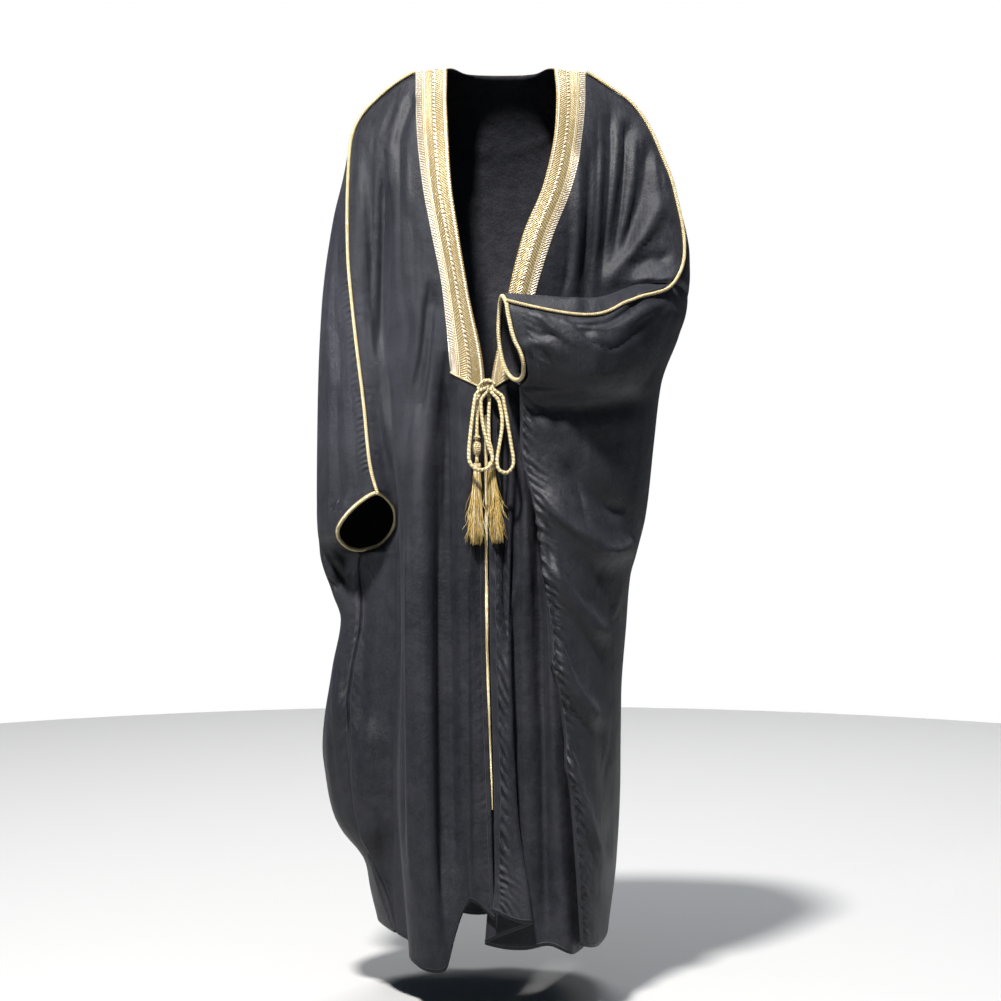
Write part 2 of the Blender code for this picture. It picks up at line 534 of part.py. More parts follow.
def build_sewn_cords(points, outward, grids, gold, cloth):
    """Cord on each overarm seam, cord round each cuff, and piping down the right front edge."""
    at = cloth_rows()
    width = FRONT_RIGHT[0][1]
    lift = WALL / 2 + GAP + OVERARM_RADIUS + CORD_SLACK
    cuff_top = int(np.argmin(abs(at - RIGHT_CUFF_TOP)))
    elbow = int(np.argmin(abs(at - ELBOW_ROW)))
    last = sum(count for _, count, _ in FRONT_RIGHT)
    seam = [*grids["right"][0, width:last], *grids["right"][:cuff_top + 1, last]]
    lay_on_seam("overarm_cord_right", points, outward, seam, lift, gold, cloth)
    last = sum(count for _, count, _ in FRONT_LEFT[:-3])
    seam = [*grids["left"][0, width:last], *grids["left"][:elbow, last], *grids["left"][elbow, last:]]
    lay_on_seam("overarm_cord_left", points, outward, seam, lift, gold, cloth)

    foot = int(np.argmin(abs(at - RIGHT_CUFF_FOOT)))
    before = grids["right"][cuff_top - 1][-1]
    loop = cuff_loop(points, grids["right"], grids["back"][:, ::-1], cuff_top, foot, before)
    tube("cuff_cord_right", clear_path(loop, CUFF_RADIUS, cloth, closed=True), CUFF_RADIUS, gold, closed=True)
    foot = int(np.argmin(abs(at - LEFT_CUFF_FOOT)))
    before = grids["left"][elbow][-2]
    loop = cuff_loop(points, grids["left"], grids["back"], elbow, foot, before)
    tube("cuff_cord_left", clear_path(loop, CUFF_RADIUS, cloth, closed=True), CUFF_RADIUS, gold, closed=True)

    start = int(np.argmin(abs(at - BAND_END_ROW))) + 1
    end = int(np.argmin(abs(at - PIPING_END_ROW)))
    path = []
    for i in range(start, end + 1):
        edge = points[grids["right"][i, 0]]
        away = edge - points[grids["right"][i, 1]]
        path.append(edge + away / np.linalg.norm(away) * (PIPING_RADIUS + GAP))
    tube("front_piping", clear_path(path, PIPING_RADIUS, cloth), PIPING_RADIUS, gold)


def lay_on_seam(name, points, outward, seam, lift, gold, cloth):
    """A cord that lies on the given seam points, its two ends drawn in a little."""
    path = points[seam] + outward[seam] * lift
    path[0] += (path[1] - path[0]) * 0.2
    path[-1] += (path[-2] - path[-1]) * 0.2
    tube(name, clear_path(path, OVERARM_RADIUS, cloth), OVERARM_RADIUS, gold)


def clear_path(path, radius, cloth, closed=False):
    """The path moved away from the cloth where a cord of this radius would cut into it."""
    path = np.array(path)
    need = radius + GAP
    count = len(path)
    for _ in range(CLEARING_PASSES):
        for k in range(count if closed else count - 1):
            after = (k + 1) % count
            for share in (0.0, 0.25, 0.5, 0.75, 1.0):
                spot = path[k] * (1 - share) + path[after] * share
                for tree in cloth:
                    near, _, _, distance = tree.find_nearest(spot)
                    if 0 < distance < need:
                        push = (spot - np.array(near)) / distance * (need - distance)
                        path[k] += push * (1 - share)
                        path[after] += push * share
    return path


def unit(vector):
    return vector / np.linalg.norm(vector)


def cuff_side(points, grid, top, foot):
    """Centre of the binding cord along one side of a cuff, between its ends, off the cloth's edge."""
    path = []
    for i in range(top + 1, foot):
        above, row, below = (grid[k][grid[k] >= 0] for k in (i - 1, i, i + 1))
        along = unit(points[below[-1]] - points[above[-1]])
        across = points[row[-1]] - points[row[-2]]
        away = unit(across - along * across.dot(along))
        path.append(points[row[-1]] + away * (CUFF_RADIUS + GAP + 2 * CORD_SLACK))
    return path


def cuff_loop(points, front, back, top, foot, before):
    """The closed loop round a cuff; before is the point ahead of it on the overarm seam."""
    reach = CUFF_RADIUS + GAP + 2 * CORD_SLACK
    first, last, under = (front[k][front[k] >= 0][-1] for k in (top, foot, foot + 1))
    start = points[first] + unit(points[first] - points[before]) * reach
    end = points[last] + unit(points[last] - points[under]) * reach
    inner = cuff_side(points, front, top, foot)
    outer = cuff_side(points, back, top, foot)
    return [start, *inner, end, *outer[::-1]]


def turned(name, profile, sides, centre, material, ring=False):
    """A solid turned about a vertical axis from (radius, height) rows, top to bottom."""
    form = bmesh.new()
    rings = []
    for radius, height in profile:
        angles = [2 * math.pi * k / sides for k in range(sides)]
        rings.append([form.verts.new((centre[0] + radius * math.cos(a), centre[1] + radius * math.sin(a),
                                      centre[2] + height)) for a in angles])
    pairs = list(zip(rings, rings[1:] + (rings[:1] if ring else [])))
    for upper, lower in pairs if ring else pairs[:len(rings) - 1]:
        for k in range(sides):
            form.faces.new((upper[k], lower[k], lower[(k + 1) % sides], upper[(k + 1) % sides]))
    if not ring:
        form.faces.new(rings[0])
        form.faces.new(rings[-1][::-1])
    return finish_form(name, form, material)


def finish_form(name, form, material):
    """An object from a bmesh in millimetres, its faces pointing out."""
    bmesh.ops.scale(form, vec=(MM, MM, MM), verts=form.verts)
    bmesh.ops.recalc_face_normals(form, faces=form.faces)
    mesh = bpy.data.meshes.new(name)
    form.to_mesh(mesh)
    form.free()
    mesh.materials.append(material)
    mesh.shade_smooth()
    mesh.set_sharp_from_angle(angle=math.radians(40))
    obj = bpy.data.objects.new(name, mesh)
    bpy.context.collection.objects.link(obj)
    return obj


def build_tassel(name, axis, lean, spread, seed, material):
    """A tassel: a bound head, and strands drawn down out of the faces under it."""
    random = np.random.default_rng(seed)
    sides = TASSEL_SIDES
    form = bmesh.new()

    def circle(radius, height):
        angles = [2 * math.pi * k / sides for k in range(sides)]
        x, y, z = axis
        return [form.verts.new((x + radius * math.cos(a), y + radius * math.sin(a), z + height))
                for a in angles]

    outline = ((2.6, 0.0), (TASSEL_HEAD_RADIUS * 0.8, -2.5), (TASSEL_HEAD_RADIUS, -7.0),
               (TASSEL_HEAD_RADIUS * 0.78, -TASSEL_HEAD_HEIGHT))
    rings = [circle(radius, height) for radius, height in outline]
    floor = [rings[-1], *(circle(TASSEL_HEAD_RADIUS * share, -TASSEL_HEAD_HEIGHT) for share in (0.5, 0.22))]
    for upper, lower in zip(rings, rings[1:]):
        for k in range(sides):
            form.faces.new((upper[k], lower[k], lower[(k + 1) % sides], upper[(k + 1) % sides]))
    form.faces.new(rings[0])
    roots = [form.faces.new(floor[-1][::-1])]
    for outer, inner in zip(floor, floor[1:]):
        for k in range(sides):
            after = (k + 1) % sides
            roots.append(form.faces.new((outer[k], inner[k], inner[after], outer[after])))
    bmesh.ops.recalc_face_normals(form, faces=form.faces)
    bmesh.ops.inset_individual(form, faces=roots, thickness=0.25)
    for root in roots:
        start = root.calc_center_median()
        reach = np.array([start.x - axis[0], start.y - axis[1]])
        for share in (0.45, 1.0):
            grown = bmesh.ops.extrude_discrete_faces(form, faces=[root])["faces"][0]
            grown.normal_update()
            wave = random.uniform(-0.7, 0.7, 2)
            length = TASSEL_LENGTH * (1 if share < 1 else random.uniform(0.93, 1.0))
            aim = np.array(axis[:2]) + reach * (1 + (np.array(spread) - 1) * share)
            aim = aim + np.array(lean) * share + wave
            middle = grown.calc_center_median()
            size = 1.25 if share < 1 else 0.8
            for vert in grown.verts:
                vert.co.x = aim[0] + (vert.co.x - middle.x) * size
                vert.co.y = aim[1] + (vert.co.y - middle.y) * size
                vert.co.z = axis[2] - TASSEL_HEAD_HEIGHT - length * share
            root = grown
    return finish_form(name, form, material)


def smooth_route(route, spacing):
    """Points spacing millimetres apart on one smooth curve through a route's own points."""
    route = np.array(route, float)
    fine = section(list(route), [12] * (len(route) - 1))
    steps = np.linalg.norm(np.diff(fine, axis=0), axis=1)
    travelled = np.concatenate([[0], np.cumsum(steps)])
    places = np.linspace(0, travelled[-1], max(round(travelled[-1] / spacing), 2) + 1)
    path = np.stack([np.interp(places, travelled, fine[:, k]) for k in range(3)], axis=1)
    # Upright ends, so that the end faces lie flat against what they meet
    path[1, :2] = path[0, :2]
    path[-2, :2] = path[-1, :2]
    return path


def build_tie(gold, silk):
    """The bow at the waist: knot, two loops, two tails with their knots and tassels."""
    form = bmesh.new()
    bmesh.ops.create_cube(form, size=1)
    bmesh.ops.scale(form, vec=KNOT_SIZE, verts=form.verts)
    bmesh.ops.translate(form, vec=KNOT_CENTRE, verts=form.verts)
    bmesh.ops.bevel(form, geom=form.edges, offset=KNOT_ROUNDING, segments=2, affect="EDGES", profile=0.5)
    finish_form("waist_knot", form, gold)
    for name, route in TIE_ROUTES:
        tube(name, smooth_route(route, 2.4 * 2 * TIE_RADIUS), TIE_RADIUS, gold)
    for name, z_top, height, widest in TAIL_KNOTS:
        inner = TIE_RADIUS + 2 * GAP
        ends = inner + 0.6
        profile = ((inner, 0), (ends, 0), (widest, -height * 0.3), (widest, -height * 0.7), (ends, -height),
                   (inner, -height))
        turned(name, profile, 8, (TAIL_RIGHT_X, TAIL_RIGHT_Y, z_top), gold, ring=True)
    for name, axis, lean, spread, seed in TASSELS:
        build_tassel(name, axis, lean, spread, seed, silk)


def material(name, colour, roughness, metallic):
    """A plain surface in the part's own colour."""
    made = bpy.data.materials.new(name)
    made.use_nodes = True
    shader = made.node_tree.nodes["Principled BSDF"]
    shader.inputs["Base Color"].default_value = (*colour, 1)
    shader.inputs["Roughness"].default_value = roughness
    shader.inputs["Metallic"].default_value = metallic
    return made


def main():
    for obj in list(bpy.data.objects):
        bpy.data.objects.remove(obj)
    crepe = material("crepe", (0.012, 0.012, 0.014), 0.6, 0.0)
    gold = material("gold_thread", (0.72, 0.55, 0.28), 0.4, 0.6)
    silk = material("gold_silk", (0.62, 0.42, 0.14), 0.45, 0.2)

    points, grids = lay_cloth()
    outward = normals(points, grids)
    points = points + outward * crease_height(points, facing_sides(points, outward, grids), CREASES)[:, None]
    outward = normals(points, grids)

    half = WALL / 2
    cloth = []
    for name, side in (("front_right", "right"), ("front_left", "left"), ("back", "back")):
        wall = wall_mesh(name, points, outward, grids[side], -half, half, side == "left", crepe)
        corners = [vertex.co / MM for vertex in wall.data.vertices]
        cloth.append(BVHTree.FromPolygons(corners, [face.vertices for face in wall.data.polygons]))
    build_bands(points, outward, grids, gold)
    build_sewn_cords(points, outward, grids, gold, cloth)
    build_tie(gold, silk)


main()
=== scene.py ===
"""Open black cloak in crepe with gold trim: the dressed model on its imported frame."""

import math

import bpy
import numpy as np
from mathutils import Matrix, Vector
from mathutils.bvhtree import BVHTree


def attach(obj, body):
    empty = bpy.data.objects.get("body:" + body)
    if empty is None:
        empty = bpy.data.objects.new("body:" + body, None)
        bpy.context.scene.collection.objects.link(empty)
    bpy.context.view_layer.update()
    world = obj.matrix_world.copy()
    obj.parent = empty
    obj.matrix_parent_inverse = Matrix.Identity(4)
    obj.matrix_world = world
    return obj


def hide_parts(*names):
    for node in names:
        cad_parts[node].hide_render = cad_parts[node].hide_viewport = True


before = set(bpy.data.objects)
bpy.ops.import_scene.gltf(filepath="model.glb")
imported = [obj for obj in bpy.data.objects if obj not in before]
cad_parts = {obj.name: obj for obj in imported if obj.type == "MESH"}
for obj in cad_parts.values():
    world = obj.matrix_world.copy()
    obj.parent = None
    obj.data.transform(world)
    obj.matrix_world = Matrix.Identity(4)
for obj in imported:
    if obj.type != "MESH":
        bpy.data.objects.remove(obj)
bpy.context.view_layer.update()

MM = 0.001
NEAR = 1e-6               # row numbers this close are the same

# Driving sizes in millimetres
GAP = 0.3                 # clear space between touching pieces
OVERARM_RADIUS = 2.8      # cord on the overarm seam
CUFF_RADIUS = 3.0         # cord that binds a cuff
PIPING_RADIUS = 1.6       # piping on the right front edge
TIE_RADIUS = 2.8          # tie cord at the waist
CLEARING_PASSES = 12      # rounds of moving a sewn cord clear of the cloth
TASSEL_LENGTH = 118.0     # a tassel below its head
TASSEL_HEAD_RADIUS = 7.0
TASSEL_HEAD_HEIGHT = 14.0
KNOT_CENTRE = (-20.0, -184.0, -489.0)
KNOT_SIZE = (38.0, 17.0, 13.0)
TAIL_RIGHT_X = -36.2      # the right tail hangs straight through its two knots
TAIL_RIGHT_Y = -187.0

# Rows of the grid: row number and height of that row on a plain stretch of cloth
LEVELS = ((0, 0), (8, -345), (12, -497), (16, -668), (19, -765), (22, -870), (34, -1390))
# First row, last row and how many strips of cells lie between them
ROW_PARTS = ((0, 8, 8), (8, 12, 8), (12, 16, 4), (16, 19, 6), (19, 22, 3), (22, 34, 9))
ELBOW_ROW = 8             # this row runs along the left forearm's seam cord
LEFT_CUFF_FOOT = 12       # the left side seam starts here
RIGHT_CUFF_TOP = 16
RIGHT_CUFF_FOOT = 19      # the right side seam starts here
BAND_END_ROW = 12         # the bands end here, at the waist

# Guide lines run from the shoulder to the hem.  Each is: name, columns up to the next guide,
# rows of (row, x, y) or (row, x, y, z) in millimetres.  Without z, the row's own height is used.
FRONT_RIGHT = (
    ("edge", 3, (
        (0, -84, -8, 0), (1, -84, -52, -42), (2, -82, -84, -88), (4, -76, -122, -180), (6, -64, -142),
        (8, -50, -155), (12, -24, -170), (16, -24, -171), (22, -23, -179), (28, -15, -200),
        (34, -9, -214, -1326))),
    ("band side", 4, (
        (0, -134, -4, -7), (1, -133, -38, -50), (2, -131, -72, -94), (4, -121, -112, -184), (6, -106, -134),
        (8, -90, -148), (12, -76, -166), (16, -66, -171), (22, -62, -180), (28, -58, -196),
        (34, -48, -200, -1292))),
    ("roll", 3, (
        (0, -168, 0, -26), (1, -168, -30, -66), (2, -166, -58, -106), (4, -158, -96, -190), (8, -142, -132),
        (12, -128, -150), (16, -122, -176), (22, -118, -200), (28, -114, -222), (34, -86, -240, -1396))),
    ("turn", 3, (
        (0, -198, 2, -52), (1, -200, -22, -86), (2, -200, -46, -122), (4, -194, -74, -200),
        (8, -186, -88), (12, -178, -104), (16, -154, -158), (19, -150, -178), (22, -148, -192),
        (28, -150, -206), (34, -136, -214, -1380))),
    ("under", 3, (
        (0, -220, 2, -76), (1, -226, -16, -108), (2, -228, -34, -142), (4, -222, -64, -212),
        (8, -208, -86, -352), (12, -196, -100, -508), (16, -164, -98), (17, -158, -96),
        (19, -158, -84), (22, -158, -92),
        (28, -168, -104), (34, -140, -122, -1370))),
    ("end", 0, (
        (0, -232, 2, -98), (1, -236, -8, -128), (2, -237, -23, -160), (4, -238, -47, -224),
        (6, -237, -63, -290),
        (8, -231, -75, -362), (12, -213, -94, -512), (16, -193, -102, -664), (16.5, -176, -84, -677),
        (17, -165, -62, -694), (17.5, -165, -44, -716), (18, -178, -29, -740), (18.5, -197, -20, -757),
        (19, -222, -15, -766), (22, -226, -42), (25, -240, -58), (28, -233, -66), (30, -214, -70),
        (32, -188, -76), (34, -166, -86, -1362))),
)
FRONT_LEFT = (
    ("edge", 3, (
        (0, 84, -8, 0), (1, 87, -52, -42), (2, 85, -84, -88), (4, 67, -122, -180), (6, 34, -142),
        (8, 13, -155), (10, -2, -163), (12, -15, -173), (16, -18, -177), (22, -17, -191), (28, -10.5, -212),
        (31, -9, -220), (34, -14, -228, -1306))),
    ("band side", 2, (
        (0, 134, -4, -7), (1, 133, -38, -50), (2, 129, -72, -94), (4, 112, -112, -184), (6, 82, -134),
        (8, 56, -148), (10, 38, -156), (12, 24, -163), (16, 14, -176), (22, 12, -198), (28, 14, -216),
        (34, 26, -234, -1328))),
    ("fold", 2, (
        (0, 163, 0, -24), (1, 162, -30, -64), (2, 160, -58, -104), (4, 148, -98, -190), (8, 96, -128),
        (12, 50, -152), (16, 24, -162), (19, 18, -164), (22, 16, -188), (28, 24, -206),
        (34, 47, -228, -1334))),
    ("under", 4, (
        (0, 184, 0, -38), (1, 184, -24, -78), (2, 182, -48, -116), (4, 172, -82, -198), (8, 130, -110),
        (12, 76, -138), (16, 44, -158), (19, 34, -170), (22, 18, -172), (28, -6, -188),
        (34, -24, -200, -1372))),
    ("behind seam", 4, (
        (0, 204, 0, -52), (1, 206, -20, -92), (2, 206, -40, -130), (4, 198, -64, -208), (8, 168, -92),
        (12, 128, -112), (16, 98, -142), (22, 84, -168), (28, 92, -188), (34, 104, -204, -1392))),
    ("pocket", 3, (
        (0, 228, 0, -82), (1, 243, -8, -112), (2, 255, -18, -144), (3, 268, -28, -176), (4, 276, -36, -212),
        (5, 284, -42, -246), (6, 288, -48, -278), (7, 286, -60, -308), (8, 266, -88, -336),
        (9, 216, -74, -350), (10, 204, -70, -400), (12, 190, -78), (16, 166, -96), (22, 144, -112),
        (28, 138, -122), (34, 140, -128, -1384))),
    ("rear", 4, (
        (8, 146, -232, -389), (9, 140, -206, -360), (10, 124, -172, -402), (11, 118, -168, -450),
        (12, 120, -172), (16, 118, -176), (22, 112, -172), (28, 122, -172), (34, 134, -176, -1380))),
    ("tip", 0, (
        (8, 12, -258, -366), (9, 4, -232, -352), (10, 0, -206, -404), (11, 5, -200, -454),
        (11.5, 12, -204, -478), (12, 29, -222, -495), (14, 31, -214), (16, 50, -222), (19, 64, -230),
        (22, 76, -234), (25, 94, -234),
        (28, 108, -234), (31, 118, -232), (34, 124, -230, -1368))),
)
BACK = (
    ("right end", 3, ()),
    ("right side", 5, (
        (0, -220, 2, -76), (1, -240, 20, -126), (2, -248, 22, -164), (4, -264, 18, -236), (8, -283, 6, -372),
        (12, -290, 0, -520), (16, -292, -4, -676), (19, -287, -6), (21, -266, -8), (22, -254, -12),
        (24, -268, -10),
        (27, -284, -4), (28, -279, -2), (29, -271, 0), (30, -252, 1), (31, -216, 1), (32, -209, 0),
        (34, -196, -6, -1356))),
    ("right rear", 8, (
        (0, -168, 2, -26), (1, -182, 38, -44), (2, -190, 66, -84), (4, -200, 90, -180), (6, -204, 96, -262),
        (8, -206, 96, -352), (12, -204, 90, -500), (19, -194, 92), (22, -184, 98), (27, -190, 120),
        (34, -176, 138, -1372))),
    ("right neck", 2, (
        (0, -84, -8, 0), (1, -92, 34, -6), (2, -94, 70, -36), (3, -93, 98, -84), (4, -92, 116, -140),
        (6, -92, 136, -246), (8, -92, 140), (12, -92, 134), (19, -90, 138), (27, -88, 172),
        (34, -90, 200, -1382))),
    ("right nape", 2, (
        (0, -48, 50, -5), (1, -50, 82, -42), (2, -50, 104, -87), (4, -50, 129, -178), (8, -48, 144),
        (12, -48, 136),
        (19, -46, 142), (27, -44, 178), (34, -46, 208, -1386))),
    ("left nape", 2, (
        (0, 48, 50, -5), (1, 50, 82, -42), (2, 50, 104, -87), (4, 50, 129, -178), (8, 48, 144), (12, 48, 136),
        (19, 46, 142), (27, 48, 176), (34, 44, 206, -1386))),
    ("left neck", 7, (
        (0, 84, -8, 0), (1, 92, 34, -6), (2, 94, 70, -36), (3, 93, 98, -84), (4, 92, 116, -140),
        (6, 92, 136, -246), (8, 92, 140), (12, 92, 134), (19, 90, 138), (27, 86, 168), (34, 84, 194, -1384))),
    ("left rear", 5, (
        (0, 163, 0, -24), (1, 178, 38, -44), (2, 188, 66, -84), (4, 204, 90, -184), (6, 208, 94, -266),
        (8, 206, 92, -352), (12, 194, 88), (19, 166, 92), (22, 156, 98), (27, 152, 118),
        (34, 148, 136, -1374))),
    ("left side", 3, (
        (0, 208, 0, -56), (1, 236, 24, -118), (2, 254, 24, -156), (4, 280, 16, -232), (6, 294, 6, -300),
        (8, 294, 8, -362), (10, 278, 8), (12, 250, 8), (14, 240, 6), (17, 228, 4), (19, 212, 2), (20, 202, 0),
        (22, 198, -2), (25, 190, -4), (28, 190, -6), (31, 184, -6), (34, 170, -10, -1366))),
    ("elbow", 3, (
        (8, 266, -88, -336), (9, 272, -92, -382), (10, 262, -96, -420), (12, 236, -104, -500),
        (16, 214, -108), (19, 198, -118), (22, 182, -128), (28, 172, -136), (34, 164, -136, -1372))),
    ("sleeve face", 4, (
        (8, 146, -232, -389), (9, 148, -252, -406), (10, 150, -256, -432), (11, 146, -253, -468),
        (12, 138, -236, -505), (13, 134, -214), (14, 132, -205), (19, 136, -206), (22, 134, -206),
        (28, 144, -204),
        (34, 146, -202, -1376))),
    ("left end", 0, ()),
)
GUIDES = {"right": FRONT_RIGHT, "left": FRONT_LEFT, "back": BACK}
# The back's side of each cuff opening
RIGHT_CUFF_OUTER = (
    (16.5, -217, -105, -675), (17, -238, -98, -692), (17.5, -253, -84, -711), (18, -260, -64, -731),
    (18.5, -249, -36, -752))
LEFT_CUFF_OUTER = ((9, 14, -264, -379), (10, 22, -268, -414), (11, 38, -264, -452), (11.5, 42, -252, -476))
# Routes of the tie cord, x y z: each starts under the knot and hangs from it
BELOW_KNOT = -KNOT_SIZE[2] / 2 - GAP
UNDER_KNOT = KNOT_CENTRE[2] + BELOW_KNOT
TIE_ROUTES = (
    ("tie_loop_right", (
        (-33.5, -188, UNDER_KNOT), (-37, -190, -504), (-43.6, -196, -545), (-48, -202, -588),
        (-47.6, -205, -608),
        (-40, -206, -619), (-28.7, -206, -622), (-17.6, -205, -617), (-11.8, -203, -608), (-15.7, -200, -594),
        (-24.2, -197, -566), (-29.4, -193, -532), (-28, -189, -508), (-26.6, -188, UNDER_KNOT))),
    ("tie_loop_left", (
        (-13.6, -188, UNDER_KNOT), (-11, -189, -504), (-3, -192, -521), (2.4, -195, -543), (1, -199, -568),
        (-3.4, -202, -594), (-5, -204, -612), (-1, -205, -623), (6, -205, -627), (16, -205, -622),
        (20, -204, -611), (17.4, -201, -590), (12.2, -197, -558), (6.6, -192, -526), (-1.4, -189, -504),
        (-6.6, -188, UNDER_KNOT))),
    ("tie_tail_right", (
        (-33.4, -181.2, UNDER_KNOT), (-34.6, -182, -510), (-36, -185.6, -540),
        (TAIL_RIGHT_X, TAIL_RIGHT_Y, -560),
        (TAIL_RIGHT_X, TAIL_RIGHT_Y, -585), (TAIL_RIGHT_X, TAIL_RIGHT_Y, -610.7))),
    ("tie_tail_left", (
        (-17.4, -181.2, UNDER_KNOT), (-17.6, -182.4, -520), (-18, -186, -560), (-16, -189, -590),
        (-13.4, -191, -608.7))),
)
# Knots on the right tail: name, top, height, widest radius
TAIL_KNOTS = (("tail_knot_small", -569.0, 8.0, 4.6), ("tail_knot_large", -578.5, 22.0, 5.6))
# Tassels: name, top of the head, lean of the skirt, its spread across and in depth, seed
TASSELS = (
    ("tassel_right", (TAIL_RIGHT_X, TAIL_RIGHT_Y, -611.0), (-2.0, -3.0), (2.3, 1.3), 3),
    ("tassel_left", (-13.4, -191.0, -609.0), (8.0, -2.0), (2.0, 1.3), 8),
)
# Creases: panel side, start x z, middle x z, end x z, half-width, rise (a trough is below zero)
CREASES = (
    # Right front: arm fold, chest folds, then the rolls and valleys of the skirt
    ("right", -184, -140, -185, -300, -190, -470, 11, -12),
    ("right", -212, -110, -206, -270, -202, -430, 9, -7),
    ("right", -134, -40, -150, -80, -164, -140, 8, -6),
    ("right", -146, -200, -140, -320, -150, -470, 12, -6),
    ("right", -106, -330, -112, -440, -134, -560, 11, -9),
    ("right", -82, -440, -86, -800, -78, -1480, 15, -26),
    ("right", -122, -520, -122, -950, -104, -1560, 20, 12),
    ("right", -48, -540, -50, -900, -44, -1560, 13, 9),
    ("right", -222, -780, -222, -920, -226, -1060, 13, -9),
    ("right", -205, -1010, -214, -1130, -206, -1250, 26, 12),
    ("right", -180, -1180, -186, -1300, -170, -1460, 14, -12),
    # Right sleeve and side, on the back panel
    ("side", -262, -150, -268, -330, -272, -560, 13, 6),
    ("side", -250, -380, -262, -560, -256, -700, 9, -6),
    ("side", -240, -760, -262, -820, -282, -800, 10, -10),
    ("side", -246, -960, -262, -1090, -240, -1240, 16, 10),
    # Left front: folds from the shoulder into the bend of the arm, then the skirt
    ("left", 172, -50, 170, -180, 156, -360, 10, -9),
    ("left", 200, -80, 196, -165, 166, -340, 9, -9),
    ("left", 229, -110, 222, -200, 178, -320, 10, -10),
    ("left", 150, -350, 214, -276, 262, -190, 12, 9),
    ("left", 122, -120, 118, -230, 112, -400, 8, 6),
    ("left", 146, -110, 140, -240, 130, -400, 8, -6),
    ("left", 196, -318, 232, -300, 270, -292, 8, -7),
    ("left", 10, -540, 9, -700, 10, -930, 8, -14),
    ("left", 34, -560, 36, -850, 46, -1500, 12, 8),
    ("left", 58, -620, 64, -1000, 74, -1440, 8, -13),
    ("left", 80, -900, 94, -1220, 108, -1500, 10, 8),
    # Left sleeve and the back panel's front: swags that fall from the side seam
    ("sleeve", 118, -396, 165, -408, 232, -368, 8, -6),
    ("sleeve", 30, -446, 62, -428, 100, -462, 11, 5),
    ("sleeve", 20, -520, 120, -528, 250, -510, 18, -14),
    ("sleeve", 50, -630, 140, -738, 216, -736, 20, 15),
    ("sleeve", 90, -590, 150, -668, 200, -690, 16, -9),
    ("sleeve", 66, -745, 112, -832, 178, -884, 12, 12),
    ("sleeve", 74, -880, 120, -974, 182, -1016, 12, 11),
    ("sleeve", 96, -1030, 130, -1150, 180, -1290, 10, 10),
    ("sleeve", 150, -930, 168, -1130, 164, -1240, 12, -9),
    # Back: soft flutes that deepen towards the hem
    ("back", -170, -100, -150, -420, -142, -1560, 24, -18),
    ("back", -120, -140, -104, -700, -92, -1560, 20, 12),
    ("back", -60, -260, -50, -760, -38, -1560, 22, -18),
    ("back", 4, -400, 6, -900, 14, -1560, 20, 12),
    ("back", 70, -200, 58, -760, 66, -1560, 22, -18),
    ("back", 150, -110, 124, -620, 118, -1560, 22, 12),
    ("back", 196, -180, 170, -560, 160, -1560, 18, -14),
)

# Sizes of the dressed model in millimetres
FINER_ROWS = 5
FINER_COLUMNS = 5
SHELL = 1.2               # thickness of the thin cloth
BAND_WIDTH = 49.0
BAND_COLUMNS = 30         # cells across a band
BAND_STEP = 1.7           # length of a cell down it
BAND_SLANT = 24.0         # how much higher the outer corner of a band ends
BAND_SLANT_FROM = 70.0    # over this length above its end
BAND_SQUARE = 0.1         # share of its width that ends square, before the slant
BAND_CLEAR = 0.1          # from the cloth to a band
BAND_BASE = 0.5           # a band's thickness under its rows of thread
END_CORD_RADIUS = 1.5     # cord on a band's slanted end
END_CORD_LIFT = 1.4       # its middle off the cloth
STITCH_PITCH = 4.4        # slanted stitches down a band
TOOTH_PITCH = 7.6         # ticks in its tooth row
TOOTH_PLACE = 0.42        # where the tooth row lies, as a share of the width
THREADS = 210             # threads in each tassel
STRAYS = 24               # threads that curl away from each tassel
THREAD_STEPS = 18         # stretches that a thread is made of
THREAD_SEED = 40
THREAD_ROOM = 0.72        # share of the head's radius that the threads start in
THREAD_WAVES = 7          # waves in each thread
THREAD_SWAY = 2.6         # their size at most
THREAD_TUCK = 1.5         # each thread starts this far inside the head
THREAD_LENGTHS = (0.8, 0.97)  # least and most, as shares of the tassel's length
STRAY_LENGTHS = (0.5, 0.93)
THREAD_RADII = (0.3, 0.5)
HEAD_TURNS = 9            # turns of thread round a tassel's head
HEAD_THREAD = 0.95        # radius of the thread wound round a head
# Radius of a wound head: share of its height from the top, millimetres
HEAD_PROFILE = ((0, 2.4), (0.12, 5.0), (0.35, 6.0), (0.7, 5.6), (1, 4.6))
CORD_RADIUS = 3.05        # tie cord, a little fuller than its solid
EDGE_RADIUS = 3.0         # piping on the front edges
PIPING_SEEN_ROW = 28.8    # row where the piping has turned under
ELBOW_LEVEL = -255        # below it the left overarm cord lies on the forearm
CUFF_FULL = 3.4           # cuff cord, a little fuller than its solid
PIPING_TAPER = ((0, 1), (0.6, 0.85), (1, 0.4))  # share of its length, share of its radius
PIPING_STEP = 14          # spacing of the points that its path keeps
SEWN_STEP = 11            # the same for a cord on a seam
TIE_STEP = 4.8 * TIE_RADIUS  # the same for the tie cord
CORD_SEAT = 0.85          # a sewn cord's middle lies this share of its radius off the cloth
SEARCH = 60.0             # how far ahead of a cord the front of the sleeve is looked for
STRANDS = 2               # strands in every laid cord
FIRST_SIDE = (0.31, 0.23, 0.92)  # a direction that no cord starts along
